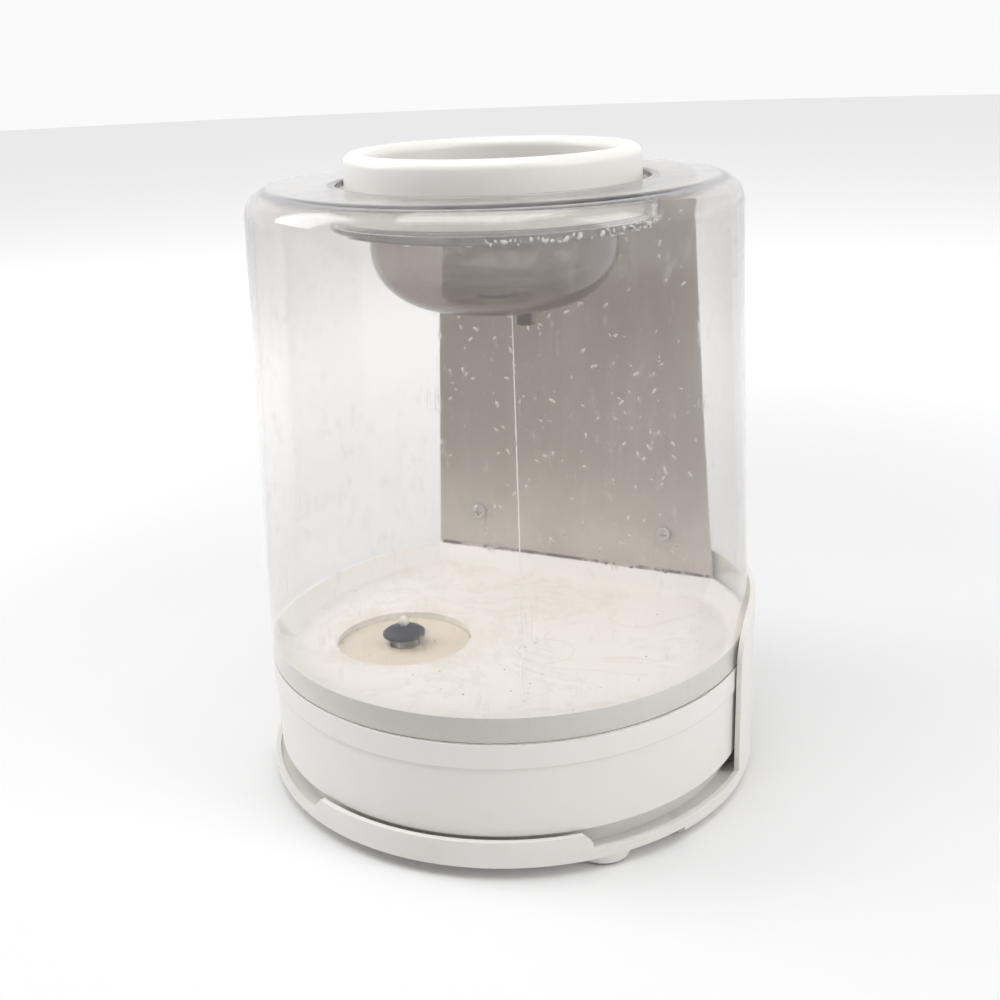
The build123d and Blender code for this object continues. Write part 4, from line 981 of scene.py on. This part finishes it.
class HUMIDIFIER_OT_panel(bpy.types.Operator):
    """The partition panel, its screws and the bead along its foot"""
    bl_idname = "humidifier.panel"
    bl_label = "Panel"

    def execute(self, context):
        mould("partition_panel", "panel_brown", 0.25)
        mould("panel_screws", "steel", 0.12)
        mould("bond_bead", "bead", 0.15)
        return {"FINISHED"}


class HUMIDIFIER_OT_cap(bpy.types.Operator):
    """The tank cap and its spring valve"""
    bl_idname = "humidifier.cap"
    bl_label = "Cap and valve"

    def execute(self, context):
        mould("tank_cap", "cream", 0.3)
        mould("cap_gasket", "black_rubber", 0.2)
        mould("valve_spring", "steel", 0)
        mould("valve_plunger", "natural_plastic", 0.08)
        mould("valve_clip", "steel", 0.08)
        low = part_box("valve_seal")[0].z / MM
        seal = lathe("seal_dome", rounded([
            (1.6, low, 0), (9.75, low, 0.35), (9.75, low + 1.4, 0.5), (8.3, low + 2.5, 3.0),
            (6.2, low + 3.6, 4.0), (3.6, low + 4.3, 2.0), (1.6, low + 4.6, 0)], 5), 96, (CAP_X, CAP_Y))
        settle(seal, "valve", "black_rubber", "valve_seal")
        return {"FINISHED"}


class HUMIDIFIER_OT_base(bpy.types.Operator):
    """The base tray with its shroud, the deck, feet and screws"""
    bl_idname = "humidifier.base"
    bl_label = "Base"

    def execute(self, context):
        mould("base_tray", "white_shell", 0.5)
        mould("base_deck", "white_shell", 0.4)
        mould("foot_pads", "grey_rubber", 0.4)
        mould("deck_screws", "steel", 0.15)
        mould("valve_post", "natural_plastic", 0.2)
        mould("mist_nozzle", "natural_plastic", 0.25)
        mould("float_guide", "natural_plastic", 0.2)
        mould("float_ring", "cream", 0.3)
        return {"FINISHED"}


class HUMIDIFIER_OT_controls(bpy.types.Operator):
    """The knob, switch, lamp and cord inlet on the back"""
    bl_idname = "humidifier.controls"
    bl_label = "Controls"

    def execute(self, context):
        mould("mist_knob", "knob_grey", 0.2)
        mould("control_spindle", "brass", 0.2)
        mould("mist_control", "steel", 0.2)
        mould("control_nut", "steel", 0.15)
        mould("power_switch", "component_black", 0.25)
        mould("power_rocker", "component_black", 0.3)
        mould("lamp_lens", "lens_amber", 0.1)
        mould("cord_inlet", "component_black", 0.3)
        return {"FINISHED"}


class HUMIDIFIER_OT_works(bpy.types.Operator):
    """The blower, mist generator and electrics inside the base"""
    bl_idname = "humidifier.works"
    bl_label = "Inner works"

    def execute(self, context):
        for node, slot, edge in (
                ("transducer_seal", "black_rubber", 0.15), ("transducer_disc", "piezo", 0.08),
                ("transducer_retainer", "steel", 0.1), ("retainer_screws", "steel", 0.1),
                ("fan_housing", "natural_plastic", 0.25), ("fan_motor", "steel", 0.0),
                ("air_filter", "foam", 0.4), ("air_duct", "natural_plastic", 0.2),
                ("driver_board", "board", 0.1), ("heat_sink", "aluminium", 0.1),
                ("power_transistor", "component_black", 0.2), ("board_capacitors", "component_blue", 0.0),
                ("board_coil", "winding", 0.6), ("transformer_core", "core_iron", 0.2),
                ("transformer_winding", "winding", 0.8), ("fan_shaft", "steel", 0.15),
                ("fan_impeller", "natural_plastic", 0.15)):
            mould(node, slot, edge)
        return {"FINISHED"}


class HUMIDIFIER_OT_age_marks(bpy.types.Operator):
    """Mineral crust, flecks and grains left by use"""
    bl_idname = "humidifier.age_marks"
    bl_label = "Age marks"

    def execute(self, context):
        given = sizes()
        outer = WELL_RADIUS + 3.0 + 0.05
        scatter("recess_crust", ring_patch(outer, outer, 20, 140, LEDGE - 2.8, LEDGE - 0.2), "scale_grain", 3,
                "tank", "bead", Density=given.crust_grains * 0.5, Smallest=0.00012, Largest=0.0011,
                Flatness=0.5, Length=1.6)
        scatter("recess_crust_low", ring_patch(54.0, outer - 0.6, -60, 150, LEDGE - 3.02, LEDGE - 3.02),
                "scale_grain", 5, "tank", "bead", Density=given.crust_grains * 0.16, Smallest=0.00008,
                Largest=0.0010, Flatness=0.35, Length=1.8)
        front = PANEL_FRONT - 0.02
        panel = patch([(-70, front, CURB_TOP + 4), (70, front, CURB_TOP + 4), (62, front, LEDGE + 4),
                       (-62, front, LEDGE + 4)], [(0, 1, 2, 3)])
        scatter("panel_flecks", panel, "scale_grain", 11, "tank", "bead", Density=given.panel_flecks,
                Smallest=0.00008, Largest=0.0009, Flatness=0.12, Length=2.6)
        crumbs = patch([(-72, front - 1.6, CURB_TOP + 0.05), (72, front - 1.6, CURB_TOP + 0.05),
                        (72, front - 0.1, CURB_TOP + 0.9), (-72, front - 0.1, CURB_TOP + 0.9)],
                       [(0, 1, 2, 3)])
        scatter("bead_crumbs", crumbs, "dark_grain", 17, "tank", "bead", Density=given.crust_grains * 0.9,
                Smallest=0.00010, Largest=0.0007, Flatness=0.6, Length=1.5)
        floor = ring_patch(4.0, 98.0, -126, 126, FLOOR_LEVEL + 0.03, FLOOR_LEVEL + 0.03)
        scatter("floor_grains", floor, "dark_grain", 23, "tank", "bead", Density=given.floor_grains,
                Smallest=0.00006, Largest=0.0004, Flatness=0.5, Length=1.4)
        return {"FINISHED"}


# ---------------------------------------------------------------- panel and registration
PIECES = (
    HUMIDIFIER_OT_stage, HUMIDIFIER_OT_thread, HUMIDIFIER_OT_shell, HUMIDIFIER_OT_bowl,
    HUMIDIFIER_OT_collar, HUMIDIFIER_OT_tank_floor, HUMIDIFIER_OT_panel, HUMIDIFIER_OT_cap,
    HUMIDIFIER_OT_base, HUMIDIFIER_OT_controls, HUMIDIFIER_OT_works, HUMIDIFIER_OT_age_marks)


class HUMIDIFIER_PT_pieces(bpy.types.Panel):
    """Lists the pieces and their settings"""
    bl_idname = "HUMIDIFIER_PT_pieces"
    bl_label = "Humidifier"
    bl_space_type = "VIEW_3D"
    bl_region_type = "UI"
    bl_category = "Humidifier"

    def draw(self, context):
        for group in (context.scene.humidifier_sizes, context.scene.humidifier_colours):
            for key in type(group).__annotations__:
                self.layout.prop(group, key)
        for piece in PIECES:
            self.layout.operator(piece.bl_idname)


CLASSES = (HumidifierSizes, HumidifierColours, *PIECES, HUMIDIFIER_PT_pieces)


def register():
    for kind in CLASSES:
        bpy.utils.register_class(kind)
    bpy.types.Scene.humidifier_sizes = bpy.props.PointerProperty(type=HumidifierSizes)
    bpy.types.Scene.humidifier_colours = bpy.props.PointerProperty(type=HumidifierColours)


def unregister():
    del bpy.types.Scene.humidifier_colours
    del bpy.types.Scene.humidifier_sizes
    for kind in reversed(CLASSES):
        bpy.utils.unregister_class(kind)


def main():
    register()
    for piece in PIECES:
        group, _, name = piece.bl_idname.partition(".")
        getattr(getattr(bpy.ops, group), name)()


if __name__ == "__main__":
    main()
